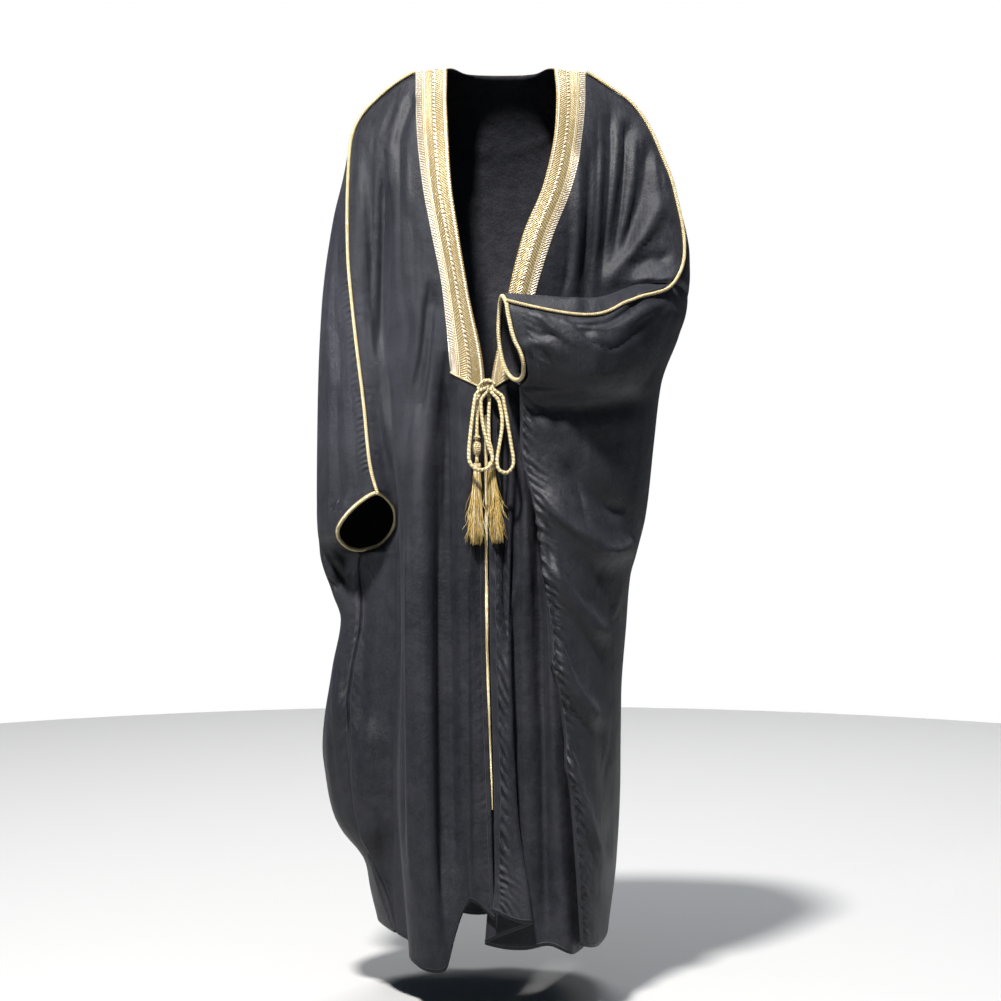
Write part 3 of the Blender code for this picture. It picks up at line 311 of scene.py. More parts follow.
# How each cord is laid: one turn in this many millimetres, depth of the grooves as a share of the radius
LAYS = {
    "tie": (12.0, 0.34),
    "tail knot": (7.5, 0.3),
    "tassel head": (5.0, 0.2),
    "band end": (6.0, 0.25),
    "overarm": (7.0, 0.2),
    "cuff": (8.0, 0.2),
    "piping": (260.0, 0.3),
    "left piping": (7.0, 0.22),
}
KNOT_TURNS = 3            # turns of cord in the waist knot
KNOT_WIND = (10.0, 4.2, 3.2)  # length that they take, and their radius in depth and in height
KNOT_RISE = 0.4           # their axis above the knot's centre
KNOT_CORDS = (2.9, 2.7)   # radius of the turns' cord and of the strands
# Strands from the knot's centre: one crosses in front of the turns, two go down behind the tails
KNOT_STRANDS = (
    ((-12, -3.6, -4.6), (-8, -7.6, 0.4), (0, -9.6, 3.0), (8, -7.6, 0.6), (12.4, -3.8, -4.4)),
    ((-9, 1.6, BELOW_KNOT), (-7.6, 0, 0), (-3, 1.0, 2.4)),
    ((3.4, 1.6, BELOW_KNOT), (4.0, 0, 0), (1, 1.0, 2.4)),
)
TAIL_WIND = 1.5           # radius of the cord wound into the right tail's knots
TAIL_TIGHT = 1.7          # height of one turn, as a share of that radius
TAIL_SWELL = 1.2          # how far the turns stand out past the solid
TAIL_OVERLAP = 0.2        # added to the cord's radius so that its turns touch
# Where each loop arches out of the knot: points before its route, points left out at its start and end,
# points after it
ARCHES = {
    "tie_loop_right": (
        ((-19, -190.0, -487.6), (-26, -191.2, -490.6), (-33, -191.6, -498), (-38.6, -192.4, -512)), 2, 2,
        ((-28.8, -190.6, -511), (-25.6, -190, -499), (-20.4, -189.6, -490.4))),
    "tie_loop_left": (
        ((-14, -189.6, -490.4), (-9.6, -190, -498), (-5.0, -190.8, -510)), 3, 2,
        ((2.2, -191.4, -508), (-4.2, -191.2, -494.6), (-11.6, -190.2, -488))),
}
LEFT_PIPING_END = 14.4    # row where the left edge's piping goes under
# Camera, floor and sky, in metres
CAMERA_PLACE = (0.0, -5.2, -0.35)
CAMERA_AIM = -0.682       # height that it looks at
SENSOR_WIDTH = 36.0       # in millimetres
FRAME_HEIGHT = 1.5947     # height of the view at the camera's aim
FLOOR = -1.47
FLOOR_COLOUR = (0.38, 0.38, 0.38)
SKY_COLOUR = (0.6, 0.78, 1.0)
SKY_STRENGTH = 0.06       # light that the surroundings cast
SKY_SEEN = 1.0            # how bright they look
FLOOR_REACH = 2.6         # radius of the floor, and how far behind its middle lies
FLOOR_BACK = 1.0
# Name, place, aim, size, power, colour, spread in degrees
LIGHTS = (
    ("key", (-0.9, -2.9, 4.5), (0, 0, -0.6), 0.5, 980.0, (1.0, 0.98, 0.95), 180),
    ("side", (-3.2, -2.0, 0.9), (-0.30, 0, -0.42), 0.5, 1.1, (0.92, 0.94, 1.0), 9),
    ("overhead", (0.0, -1.5, 3.2), (0, 0, -0.3), 3.0, 38.0, (0.55, 0.72, 1.0), 180),
    ("floor_light", (0.0, 2.6, 3.0), (0, 1.6, -1.47), 2.0, 150.0, (1.0, 1.0, 1.0), 180),
    ("rear", (1.6, 3.6, 1.6), (0, 0, -0.6), 1.6, 40.0, (1.0, 1.0, 1.0), 180),
)
# Looks
# Crepe colours: the dark and light ends of a mottle that is partly painted sheen, and the weave's flecks
CREPE_DARK = (0.0050, 0.0053, 0.0078)
CREPE_LIGHT = (0.0150, 0.0152, 0.0198)
CREPE_FLECK = (0.0285, 0.0295, 0.037)
# Soft relief of the crepe: stretch of the pattern, detail, roughness, height in metres, strength
CREPE_RELIEF = (
    ((30, 30, 5), 3.0, 0.55, 0.003, 0.8),
    ((16, 16, 20), 4.0, 0.6, 0.003, 0.7),
    ((62, 62, 48), 3.0, 0.6, 0.0017, 0.8),
)
YARN_PITCH = 0.9          # one rib of the weave, in millimetres
STITCH_HALF = 0.8         # half the breadth of a row of stitches
SHINE = {"front_right": 0.24, "front_left": 0.25, "back": 0.34}
# Colour of the stitches, also used for the painted highlight along the hem's edge
STITCH_AND_HEM_HIGHLIGHT = (0.07, 0.072, 0.085)
FACING = 8                # a seam this far from its edge sews down a facing
FACING_COLOUR = (0.0125, 0.0135, 0.018)
GOLD_BRIGHT = (0.97, 0.89, 0.62)
GOLD_MIDDLE = (0.76, 0.61, 0.29)
# Painted shade of the gold thread's grooves and of the lines between its threads
GOLD_SHADE = (0.25, 0.15, 0.035)
GOLD_LINES = 1.4          # fine threads across a strand, in every millimetre
# Shades of the tassel threads: share of the threads before each, colour
TASSEL_SHADES = ((0.0, (0.42, 0.26, 0.06)), (0.2, (0.66, 0.45, 0.12)), (0.5, (0.88, 0.66, 0.23)),
                 (0.78, (0.95, 0.82, 0.46)), (0.92, (0.98, 0.94, 0.80)))
BAND_SHADOW = (0.17, 0.092, 0.024)
BAND_TICK = (0.075, 0.04, 0.012)
BAND_GLINT = (0.92, 0.86, 0.68)
BAND_GAP = (0.27, 0.21, 0.13)
# Grooves between a band's rows of thread: place and half-width, as shares of its width
BAND_GROOVES = ((0.056, 0.012), (0.122, 0.012), (0.362, 0.016), (0.480, 0.016),
                (0.682, 0.010), (0.735, 0.010), (0.783, 0.014), (0.945, 0.010))
# Rows of thread on a band from its inner edge: low, high, rise.  One is a row of links.
BAND_ROWS = ((0.00, 0.05, 0.9), (0.06, 0.12, 1.1), (0.125, 0.36, 0.7), (0.365, 0.475, 1.2), (0.48, 0.68, 0.7),
             (0.685, 0.72, 0.9), (0.735, 0.78, 0.9), (0.785, 0.945, 0.6), (0.945, 1.00, 1.1))
LINK_ROW = 3
LINK_PITCH = 4.4
LINK_DEPTH = 0.5          # how far a link falls at its ends, as a share of its rise
# Zones of a band from its inner edge: start, colour, slant of its stitches, how much they show
BAND_COLOURS = (
    (0.0, (0.21, 0.14, 0.045), 0.0, 0.3),
    (0.055, (0.70, 0.66, 0.51), 0.2, 0.25),
    (0.122, (0.36, 0.295, 0.14), 0.9, 1.0),
    (0.365, (0.60, 0.54, 0.36), 0.6, 0.6),
    (0.477, (0.37, 0.31, 0.155), -0.9, 1.0),
    (0.682, (0.64, 0.59, 0.43), 0.0, 0.15),
    (0.722, (0.18, 0.12, 0.035), 0.0, 0.2),
    (0.74, (0.45, 0.385, 0.21), 0.0, 0.5),
    (0.783, (0.34, 0.33, 0.28), 0.5, 1.0),
    (0.945, (0.50, 0.48, 0.40), 0.3, 0.5),
)
# The photo's own frame: millimetres a pixel in the middle plane, its middle column, the row at the
# shoulders, and the eye's level and distance in millimetres
PHOTO_SCALE = 1.6
PHOTO_MIDDLE = 500
PHOTO_TOP = 70
EYE_LEVEL = -350
EYE_DISTANCE = 5200
# Fine creases of the front, listed one by one: panel, how far back its plane is, relief factor, then rows of
# three places in the photo's pixels with breadth and rise in millimetres
PHOTO_CREASES = (
    ("right", -165, 1.2, (
        (384, 140, 381, 230, 379, 345, 4, -3.4), (389, 135, 387, 240, 387, 350, 4.5, 2.4),
        (399, 120, 399, 230, 404, 330, 4.5, -2.4), (407, 130, 409, 240, 416, 340, 5, 1.8),
        (372, 120, 370, 200, 371, 300, 4, -1.8), (397, 98, 389, 110, 381, 130, 4, -2.2),
        (410, 98, 402, 116, 394, 140, 4, -2), (413, 86, 400, 98, 390, 112, 4, 1.4),
        (430, 270, 424, 330, 413, 395, 4, -3), (436, 300, 433, 350, 424, 420, 4, 2),
        (418, 360, 410, 410, 402, 470, 4, -2.4), (385, 355, 390, 420, 394, 490, 4, -3),
        (380, 380, 386, 440, 389, 485, 4, 1.8), (447, 345, 443, 390, 438, 450, 4, -2.6),
        (401, 480, 402, 690, 404, 880, 4, -4.2), (407, 500, 408, 690, 411, 900, 4, 2.6),
        (418, 560, 420, 740, 424, 930, 5, -2), (430, 480, 431, 700, 436, 940, 5, 1.6),
        (440, 400, 442, 640, 447, 950, 4, 3), (448, 390, 450, 640, 454, 900, 4, -4.6),
        (457, 430, 460, 640, 463, 890, 4.5, 2.2), (470, 560, 472, 720, 474, 890, 4, -1.8),
        (479, 620, 480, 760, 481, 900, 3.5, 1), (390, 700, 389, 800, 392, 920, 4, -2.4),
        (371, 640, 368, 760, 376, 880, 5, 2), (352, 620, 345, 700, 352, 820, 5, -2.2),
        (362, 560, 358, 620, 352, 700, 4, 1.8), (395, 540, 393, 600, 391, 680, 4, -2.4),
        (462, 395, 466, 450, 470, 520, 4, -1.6), (420, 230, 421, 280, 427, 330, 4, -1.4),
        (378, 700, 380, 800, 386, 900, 4, 1.2),
    )),
    ("side", -40, 1.6, (
        (343, 200, 336, 280, 334, 360, 4, -1.8), (338, 330, 333, 420, 335, 500, 5, 2.2),
        (325, 340, 322, 430, 324, 530, 4, -2.6), (352, 400, 357, 450, 360, 490, 4, -1.8),
        (345, 380, 349, 430, 352, 480, 4, 1.6), (330, 560, 338, 570, 346, 585, 4, -3),
        (328, 540, 336, 556, 344, 565, 4, 2.2), (331, 640, 329, 720, 338, 800, 4, -2.2),
        (341, 650, 340, 740, 352, 830, 4, 2), (357, 830, 352, 770, 350, 690, 4, -1.8),
        (340, 440, 344, 490, 350, 530, 4, -1.6),
    )),
    ("left", -160, 1.1, (
        (598, 95, 597, 180, 590, 280, 4, -2.8), (604, 98, 603, 180, 596, 270, 4, 0.5),
        (611, 105, 610, 180, 600, 285, 3, -2.6), (618, 108, 617, 180, 606, 275, 4, 0.6),
        (625, 114, 624, 180, 612, 262, 3, -2.4), (632, 122, 631, 180, 618, 250, 4, 0.7),
        (640, 130, 638, 185, 624, 244, 3, -2.6), (648, 145, 646, 195, 632, 240, 4, 0.5),
        (588, 130, 587, 220, 578, 290, 4, -2.4), (579, 170, 576, 240, 568, 295, 4, 1.8),
        (571, 210, 568, 260, 560, 298, 4, -2), (601, 285, 628, 258, 662, 228, 5, -2),
        (604, 278, 630, 250, 660, 216, 5, 1.4), (622, 284, 645, 268, 672, 252, 4, -2.8),
        (628, 278, 650, 260, 674, 240, 3.5, 1.8), (640, 283, 655, 275, 676, 266, 3.5, -2.2),
        (660, 150, 664, 180, 668, 210, 4, -1.8), (503, 420, 504, 520, 506, 640, 4, -4.4),
        (509, 400, 511, 500, 513, 620, 4, 2.2), (517, 420, 518, 520, 520, 640, 4, -2.8),
        (525, 480, 528, 560, 533, 640, 4, 2.2), (532, 560, 536, 640, 541, 720, 4, -2.6),
        (506, 640, 511, 720, 519, 800, 3.5, 3), (511, 700, 517, 780, 524, 860, 3.5, -3.2),
        (541, 580, 543, 720, 546, 860, 4, -3.8), (548, 600, 551, 740, 554, 880, 4, 2.6),
        (557, 700, 561, 800, 566, 900, 4, -2.2), (533, 700, 535, 800, 538, 900, 4, 1.8),
        (526, 760, 530, 840, 534, 920, 3.5, -2.2), (495, 790, 501, 800, 509, 812, 3.2, -2.6),
        (495, 816, 501, 827, 509, 840, 3.2, -2.6), (495, 838, 503, 856, 512, 876, 3.4, -3),
        (494, 856, 502, 870, 514, 894, 3.4, -2.8), (496, 700, 502, 712, 509, 725, 3.2, -2.2),
        (496, 733, 502, 745, 508, 757, 3.2, -2.2), (496, 762, 501, 772, 508, 784, 3.2, -2.2),
        (496, 668, 501, 679, 507, 690, 3.2, -1.8),
    )),
    ("sleeve", -235, 1.5, (
        (529, 300, 531, 342, 532, 386, 2.6, -1.6), (532, 308, 548, 322, 571, 345, 5, 2.8),
        (536, 338, 552, 331, 568, 347, 4, -2.4), (540, 341, 550, 358, 559, 380, 3.2, -2.6),
        (534, 346, 541, 362, 548, 380, 5, 2.2), (573, 319, 584, 330, 602, 346, 3.2, -3.2),
        (580, 321, 592, 319, 604, 323, 4, 1.8), (590, 330, 596, 335, 604, 345, 3, 2),
        (583, 327, 630, 323, 672, 295, 6, 3), (560, 314, 602, 321, 642, 303, 3.2, -3),
        (604, 348, 628, 337, 652, 318, 4, -2.2), (636, 306, 642, 301, 650, 296, 3, -1.8),
        (678, 305, 664, 350, 640, 396, 5, -2.6), (640, 332, 632, 360, 618, 392, 4, 1.8),
        (540, 395, 570, 392, 604, 388, 4, -2.4), (610, 350, 600, 366, 592, 384, 4, -1.4),
        (620, 345, 614, 365, 606, 386, 4, 1.4), (680, 262, 677, 280, 668, 292, 3.5, -1.6),
    )),
    ("sleeve", -170, 1.4, (
        (540, 486, 562, 512, 600, 540, 5, 3.4), (600, 540, 620, 545, 636, 536, 5, 2.6),
        (562, 452, 577, 482, 586, 522, 4, -3.4), (546, 546, 575, 592, 604, 618, 6, 3),
        (604, 618, 616, 604, 624, 576, 5, 2.2), (552, 606, 572, 672, 604, 716, 5, 3.2),
        (556, 640, 566, 690, 600, 735, 4, -2.8), (565, 722, 582, 798, 610, 868, 5, 3),
        (570, 760, 584, 820, 606, 882, 4, -2.8), (602, 780, 608, 760, 612, 744, 4, -2.2),
        (585, 880, 596, 905, 604, 930, 4, -2.2), (545, 500, 552, 580, 558, 660, 4, -2.4),
        (640, 400, 638, 440, 632, 500, 4, -1.8), (625, 400, 622, 450, 616, 510, 4, 1.6),
        (610, 640, 612, 700, 611, 760, 4, -1.8), (575, 400, 580, 430, 584, 470, 4, -1.8),
        (590, 650, 588, 690, 592, 730, 4, 1.6), (598, 560, 596, 580, 588, 600, 4, -1.8),
    )),
)
# Fine creases of the back, which the photo hides: the same columns as CREASES
BACK_CREASES = (
    (-236, -170, -228, -330, -222, -560, 5, -3), (-214, -120, -206, -300, -196, -520, 5, 2.4),
    (-188, -90, -172, -260, -166, -470, 5, -3.2), (-150, -70, -138, -240, -134, -430, 5, 2.4),
    (-206, -500, -210, -760, -204, -1020, 6, -3.2), (-184, -600, -176, -900, -168, -1330, 6, 3),
    (-158, -520, -148, -880, -144, -1390, 5, -3.6), (-128, -460, -116, -820, -110, -1390, 6, 2.6),
    (-104, -180, -98, -380, -96, -640, 5, -2.4), (-84, -560, -76, -900, -72, -1390, 5, -3.4),
    (-52, -200, -46, -420, -40, -720, 5, 2), (-30, -640, -24, -980, -20, -1390, 6, 2.8),
    (-8, -300, -6, -560, 0, -860, 5, -2.6), (22, -700, 28, -1000, 32, -1390, 5, -3.4),
    (36, -220, 32, -460, 34, -700, 5, 2.2), (58, -560, 56, -880, 52, -1390, 6, 2.6),
    (82, -200, 80, -420, 84, -680, 5, -2.6), (96, -680, 100, -980, 98, -1390, 5, -3.4),
    (118, -160, 108, -360, 106, -600, 5, 2.4), (136, -620, 134, -900, 128, -1390, 6, 2.6),
    (168, -110, 158, -280, 150, -500, 5, -3), (196, -140, 190, -300, 180, -480, 5, 2.4),
    (222, -170, 214, -300, 206, -450, 5, -2.6), (176, -480, 170, -700, 164, -1000, 5, -3),
    (-110, -60, -60, -110, 0, -126, 5, -2.2), (0, -126, 60, -112, 112, -62, 5, -2.2),
    (-96, -96, -50, -140, 4, -152, 5, 1.8), (240, -260, 250, -300, 262, -350, 5, -2.4),
    (230, -330, 246, -352, 268, -366, 5, -2.2),
)
# Small shifts of the cloth in front of a depth: place x z, depth, reach, shift x z
SHIFTS = (
    (-194, -674, 0, 17, 0, 8),
    (216, -378, -95, 42, 0, 14),
    (60, -1420, 60, 120, 0, 24),
    (-26, -1390, 60, 26, 0, 12),
    (73, -1390, 60, 26, 0, 22),
    (131, -1390, 60, 13, 0, 16),
    (168, -1390, 60, 30, 0, 12),
)
# Cloth eased down its length: panel, first and last row, first and last column, passes
SOFTENED = (("back", 14.4, 17.8, 1, 44, 16),)
# Larger ripples along seams: panel, first or last column, first row, last row, rise, pitch, reach,
# slant, seed
RIPPLES = (
    ("back", -1, 13, 34, 4.2, 25, 17, 1.0, 5),
    ("left", 0, 17, 33, 3.0, 29, 18, 1.5, 11),
    ("back", 0, 19, 34, 1.0, 27, 20, 0.6, 9),
)
# Fine puckers and stitches on each panel: edge, start and end of the row down the panel, distance of the
# seam from the edge, rise, pitch, reach and slant of its puckers
SEAMS = {
    "front_right": (
        ("first", 500, 1390, 7, 0.3, 16, 9, 0.8),
        ("last", 130, 640, 3, 0.5, 14, 8, 0.6),
        ("last", 770, 1390, 4, 0.5, 18, 10, 0.9)),
    "front_left": (
        ("first", 500, 1390, 11, 3.2, 23, 13, 1.6),
        ("last", 520, 1390, 4, 0.8, 17, 12, 0.8)),
    "back": (
        ("first", 110, 640, 4, 2.0, 10, 6, 0.3),
        ("first", 650, 760, 4, 1.6, 8, 6, 0.0),
        ("first", 770, 1390, 4, 0.5, 18, 10, 0.9),
        ("last", 370, 500, 18, 1.4, 13, 10, 0.4),
        ("last", 500, 1390, 4, 4.4, 18, 12, 1.0)),
}
RIPPLE_FADE = 30.0        # ripples fade over this length at both ends of their seam
RIPPLE_START = 5.0        # and start this far in from it
HEM_WIDTH = 5.5           # rolled hem
STITCH_LENGTH = 3.4       # one stitch and its gap


def new_mesh(name, corners, faces, across=None):
    """An object from corners in metres; across holds texture coordinates for each corner."""
    mesh = bpy.data.meshes.new(name)
    corners = np.asarray(corners, float)
    if isinstance(faces, np.ndarray):
        count, sides = faces.shape
        mesh.vertices.add(len(corners))
        mesh.vertices.foreach_set("co", corners.ravel())
        mesh.loops.add(count * sides)
        mesh.loops.foreach_set("vertex_index", faces.ravel())
        mesh.polygons.add(count)
        mesh.polygons.foreach_set("loop_start", np.arange(count) * sides)
        mesh.update(calc_edges=True)
    else:
        mesh.from_pydata([tuple(p) for p in corners], [], faces)
    if across is not None:
        numbers = np.empty(len(mesh.loops), int)
        mesh.loops.foreach_get("vertex_index", numbers)
        across = np.asarray(across, float)[numbers]
        for k, layer_name in enumerate(("lay", "rim")[:across.shape[1] // 2]):
            layer = mesh.uv_layers.new(name=layer_name)
            layer.uv.foreach_set("vector", across[:, 2 * k:2 * k + 2].ravel())
    mesh.shade_smooth()
    obj = bpy.data.objects.new(name, mesh)
    bpy.context.collection.objects.link(obj)
    return obj


def place(obj, made, slot, *nodes):
    """Give a piece its material, and let it stand for CAD nodes; slot is not used."""
    obj.data.materials.append(made)
    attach(obj, "root")
    if nodes:
        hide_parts(*nodes)
    return obj


def travelled(path):
    """Distance along a path at each of its points."""
    return np.concatenate([[0], np.cumsum(np.linalg.norm(np.diff(path, axis=0), axis=-1))])


def evenly(path, spacing):
    """Points spacing millimetres apart on the polyline path."""
    far = travelled(path)
    places = np.linspace(0, far[-1], max(round(far[-1] / spacing), 2) + 1)
    return np.stack([np.interp(places, far, path[:, k]) for k in range(3)], axis=1)


def closed_sheet(quads, count):
    """Faces of a sheet with two layers of count corners each: both layers and the rim between them."""
    starts, ends = quads.ravel(), np.roll(quads, -1, axis=1).ravel()
    free = ~np.isin(starts * count + ends, ends * count + starts)
    a, b = starts[free], ends[free]
    rim = np.stack([b, a, a + count, b + count], axis=1)
    return np.concatenate([quads, quads[:, ::-1] + count, rim])


def panel_shell(name, points, outward, grid, flip):
    """A panel as a closed thin shell, half its thickness to each side of the cloth's middle."""
    rows, columns = np.nonzero(grid >= 0)
    numbers = grid[rows, columns]
    order = np.full(grid.shape, -1)
    order[rows, columns] = np.arange(len(rows))
    quads = cells(order)
    if flip:
        quads = quads[:, ::-1]
    step = outward[numbers] * (SHELL / 2)
    corners = np.concatenate([points[numbers] - step, points[numbers] + step])
    where = panel_across(points, grid)[rows, columns]
    return new_mesh(name, corners * MM, closed_sheet(quads, len(rows)), np.concatenate([where, where]))


def flowing(path, spacing, closed=False, parts=10):
    """Points spacing millimetres apart on a smooth curve through the path's points."""
    path = np.asarray(path, float)
    before = after = None
    if closed:
        before, after = path[-1], path[1]
        path = np.concatenate([path, path[:1]])
    return evenly(section(path, [parts] * (len(path) - 1), before, after), spacing)


def cord_mesh(name, path, radius, lay, closed=False, sides=18):
    """A laid cord along a path, twisted as its row of LAYS says.

    The texture coordinate runs round the cord and along it, in millimetres.
    """
    pitch, depth = LAYS[lay]
    path = np.asarray(path, float)
    if closed:
        path = path[:-1]
        along = np.roll(path, -1, axis=0) - np.roll(path, 1, axis=0)
    else:
        along = np.gradient(path, axis=0)
    along /= np.linalg.norm(along, axis=1, keepdims=True)
    side = np.cross(along[0], FIRST_SIDE)
    frames = []
    for step in along:
        side = side - step * side.dot(step)
        side /= np.linalg.norm(side)
        frames.append((side, np.cross(step, side)))
    frames = np.array(frames)
    far = travelled(path)
    count = len(path)
    turn = np.zeros(count)
    if closed:
        whole = far[-1] + np.linalg.norm(path[0] - path[-1])
        pitch = whole / round(whole / pitch)
        # The frame's turn over the whole loop is spread along it
        end = frames[-1, 0] - along[0] * frames[-1, 0].dot(along[0])
        slip = math.atan2(end.dot(frames[0, 1]), end.dot(frames[0, 0]))
        turn = -slip * far / whole
    angle = np.linspace(0, 2 * math.pi, sides, endpoint=False)
    phase = angle[None, :] + 2 * math.pi * far[:, None] / pitch
    reach = radius * (1 - depth * (1 - abs(np.cos(phase * STRANDS / 2)) ** 0.8))
    spun = (angle[None, :] + turn[:, None])[..., None]
    round_it = np.cos(spun) * frames[:, None, 0] + np.sin(spun) * frames[:, None, 1]
    corners = (path[:, None, :] + reach[..., None] * round_it).reshape(-1, 3)
    numbers = np.arange(count * sides).reshape(count, sides)
    above = numbers if closed else numbers[:-1]
    below = np.roll(numbers, -1, axis=0) if closed else numbers[1:]
    faces = np.stack([above, below, np.roll(below, -1, axis=1), np.roll(above, -1, axis=1)], axis=-1)
    faces = faces.reshape(-1, 4)
    turns = phase * STRANDS / (2 * math.pi)
    where = np.stack([turns, np.broadcast_to(far[:, None], turns.shape)], axis=-1).reshape(-1, 2)
    if not closed:
        # The ends are closed by short fans round a middle point
        corners = np.concatenate([corners, path[:1], path[-1:]])
        where = np.concatenate([where, where[:1], where[-1:]])
        first, last, ring = count * sides, count * sides + 1, (count - 1) * sides
        fans = [(first, k, (k + 1) % sides) for k in range(sides)]
        fans += [(last, ring + (k + 1) % sides, ring + k) for k in range(sides)]
        faces = [*map(tuple, faces.tolist()), *fans]
    return new_mesh(name, corners * MM, faces, where)


def fine_creases():
    """The fine creases in millimetres, those of the front worked out from their places in the photo."""
    made = [("back", *row) for row in BACK_CREASES]
    for side, depth, factor, rows in PHOTO_CREASES:
        scale = 1 + depth / EYE_DISTANCE
        for *places, breadth, rise in rows:
            spots = []
            for x, y in zip(places[::2], places[1::2]):
                spots.append((x - PHOTO_MIDDLE) * PHOTO_SCALE * scale)
                spots.append(EYE_LEVEL - ((y - PHOTO_TOP) * PHOTO_SCALE + EYE_LEVEL) * scale)
            made.append((side, *spots, breadth, rise * factor))
    return made


def eased_between(first, last, out, into, t):
    """Cubic curve from first to last, with the slopes out and into at its ends."""
    return (first * (1 + 2 * t) * (1 - t) ** 2 + out * t * (1 - t) ** 2
            + last * t * t * (3 - 2 * t) + into * t * t * (t - 1))


def smooth(keys, values, at):
    """Monotone cubic curve through (keys, values), read at the places in at."""
    keys = np.asarray(keys, float)
    values = np.asarray(values, float)
    steps = np.diff(keys)
    slopes = np.diff(values) / steps
    tangents = np.zeros(len(keys))
    tangents[0], tangents[-1] = slopes[0], slopes[-1]
    for k in range(1, len(keys) - 1):
        if slopes[k - 1] * slopes[k] > 0:
            before = 2 * steps[k] + steps[k - 1]
            after = steps[k] + 2 * steps[k - 1]
            tangents[k] = (before + after) / (before / slopes[k - 1] + after / slopes[k])
    at = np.clip(at, keys[0], keys[-1])
    k = np.clip(np.searchsorted(keys, at, side="right") - 1, 0, len(steps) - 1)
    t = (at - keys[k]) / steps[k]
    return eased_between(values[k], values[k + 1], tangents[k] * steps[k], tangents[k + 1] * steps[k], t)


def level(row):
    """Height of a row on a plain stretch of cloth."""
    keys, heights = zip(*LEVELS)
    return smooth(keys, heights, row)


def guide_line(rows, at):
    """Points of one guide at the given rows; rows above its start are not a number."""
    full = [row if len(row) == 4 else (*row, float(level(row[0]))) for row in rows]
    keys, xs, ys, zs = zip(*full)
    line = np.stack([smooth(keys, column, at) for column in (xs, ys, zs)], axis=1)
    line[at < keys[0] - NEAR] = np.nan
    return line


def section(stations, counts, before=None, after=None):
    """Smooth curve through stations, with counts[k] points in stretch k and one at its end."""
    stations = [np.asarray(p, float) for p in stations]
    first = stations[0] * 2 - stations[1] if before is None else before
    last = stations[-1] * 2 - stations[-2] if after is None else after
    padded = [first, *stations, last]
    knots = [0.0]
    for p, q in zip(padded, padded[1:]):
        knots.append(knots[-1] + max(np.linalg.norm(q - p), 1.0) ** 0.5)
    points = []
    for k, count in enumerate(counts):
        p0, p1, p2, p3 = padded[k:k + 4]
        t0, t1, t2, t3 = knots[k:k + 4]
        m1 = ((p1 - p0) / (t1 - t0) - (p2 - p0) / (t2 - t0) + (p2 - p1) / (t2 - t1)) * (t2 - t1)
        m2 = ((p2 - p1) / (t2 - t1) - (p3 - p1) / (t3 - t1) + (p3 - p2) / (t3 - t2)) * (t2 - t1)
        points += [eased_between(p1, p2, m1, m2, i / count) for i in range(count)]
    points.append(stations[-1])
    return np.array(points)


def cloth_rows():
    """Row numbers of the fine grid, which splits each part into FINER_ROWS."""
    rows = [np.linspace(first, last, parts * FINER_ROWS, endpoint=False) for first, last, parts in ROW_PARTS]
    return np.array([*np.concatenate(rows), ROW_PARTS[-1][1]])


def fine_row(row):
    """Number of the fine row that lies nearest to a row of the grid."""
    return int(np.argmin(abs(cloth_rows() - row)))


def columns_to(guides, end=None):
    """Number of fine columns in the stretches of some guides."""
    return sum(count for _, count, _ in guides[:end]) * FINER_COLUMNS


def lay_cloth():
    """Points of the draped cloth and, for each panel, its grid of point numbers."""
    at = cloth_rows()
    lines = {(side, name): guide_line(rows, at)
             for side, guides in GUIDES.items() for name, _, rows in guides if rows}
    # The back panel's right and left ends follow the fronts' ends, but for the cuffs
    lines["back", "right end"] = rim_line(
        lines["right", "end"], RIGHT_CUFF_OUTER, RIGHT_CUFF_TOP, RIGHT_CUFF_FOOT, at)
    lines["back", "left end"] = rim_line(
        lines["left", "tip"], LEFT_CUFF_OUTER, ELBOW_ROW, LEFT_CUFF_FOOT, at)
    upper = at < ELBOW_ROW
    lines["back", "elbow"][upper] = lines["left", "pocket"][upper]

    counts = {side: [count * FINER_COLUMNS for _, count, _ in guides[:-1]] for side, guides in GUIDES.items()}
    grids = {side: np.full((len(at), sum(counts[side]) + 1), -1) for side in GUIDES}
    points = []

    def numbered(curve):
        """Numbers of a row's points, which join the others."""
        points.extend(curve)
        return list(range(len(points) - len(curve), len(points)))

    for i, row in enumerate(at):
        right, left, back = ([lines[side, name][i] for name, _, _ in guides]
                             for side, guides in GUIDES.items())
        if row < ELBOW_ROW - NEAR:
            # The last two guides of the left front and of the back start at the elbow
            left, back = left[:-2], back[:-2]
        right_cuff = RIGHT_CUFF_TOP < row < RIGHT_CUFF_FOOT
        left_cuff = ELBOW_ROW < row < LEFT_CUFF_FOOT
        front_right = numbered(section(right, counts["right"], None, None if right_cuff else back[1]))
        front_left = numbered(section(left, counts["left"][:len(left) - 1], None,
                                      None if left_cuff else back[-2]))
        numbers = numbered(section(back, counts["back"][:len(back) - 1], None if right_cuff else right[-2],
                                   None if left_cuff else left[-2]))
        if not right_cuff:
            numbers[0] = front_right[-1]
        if not left_cuff:
            numbers[-1] = front_left[-1]
        if i == 0:
            # The shoulder line is shared by front and back
            numbers[:len(front_right)] = front_right[::-1]
            numbers[-len(front_left):] = front_left
        if abs(row - ELBOW_ROW) < NEAR:
            # So is the seam along the left forearm
            shared = sum(counts["left"][-2:]) + 1
            numbers[-shared:] = front_left[-shared:]
        for side, held in (("right", front_right), ("left", front_left), ("back", numbers)):
            grids[side][i, :len(held)] = held
    return np.array(points), grids


def rim_line(seam, rim, top, foot, at):
    """The back's side of a cuff opening: the seam line, but its own rows from top to foot."""
    rows = ((top, *seam[fine_row(top)]), *rim, (foot, *seam[fine_row(foot)]))
    inside = (at > top) & (at < foot)
    line = seam.copy()
    line[inside] = guide_line(rows, at)[inside]
    return line


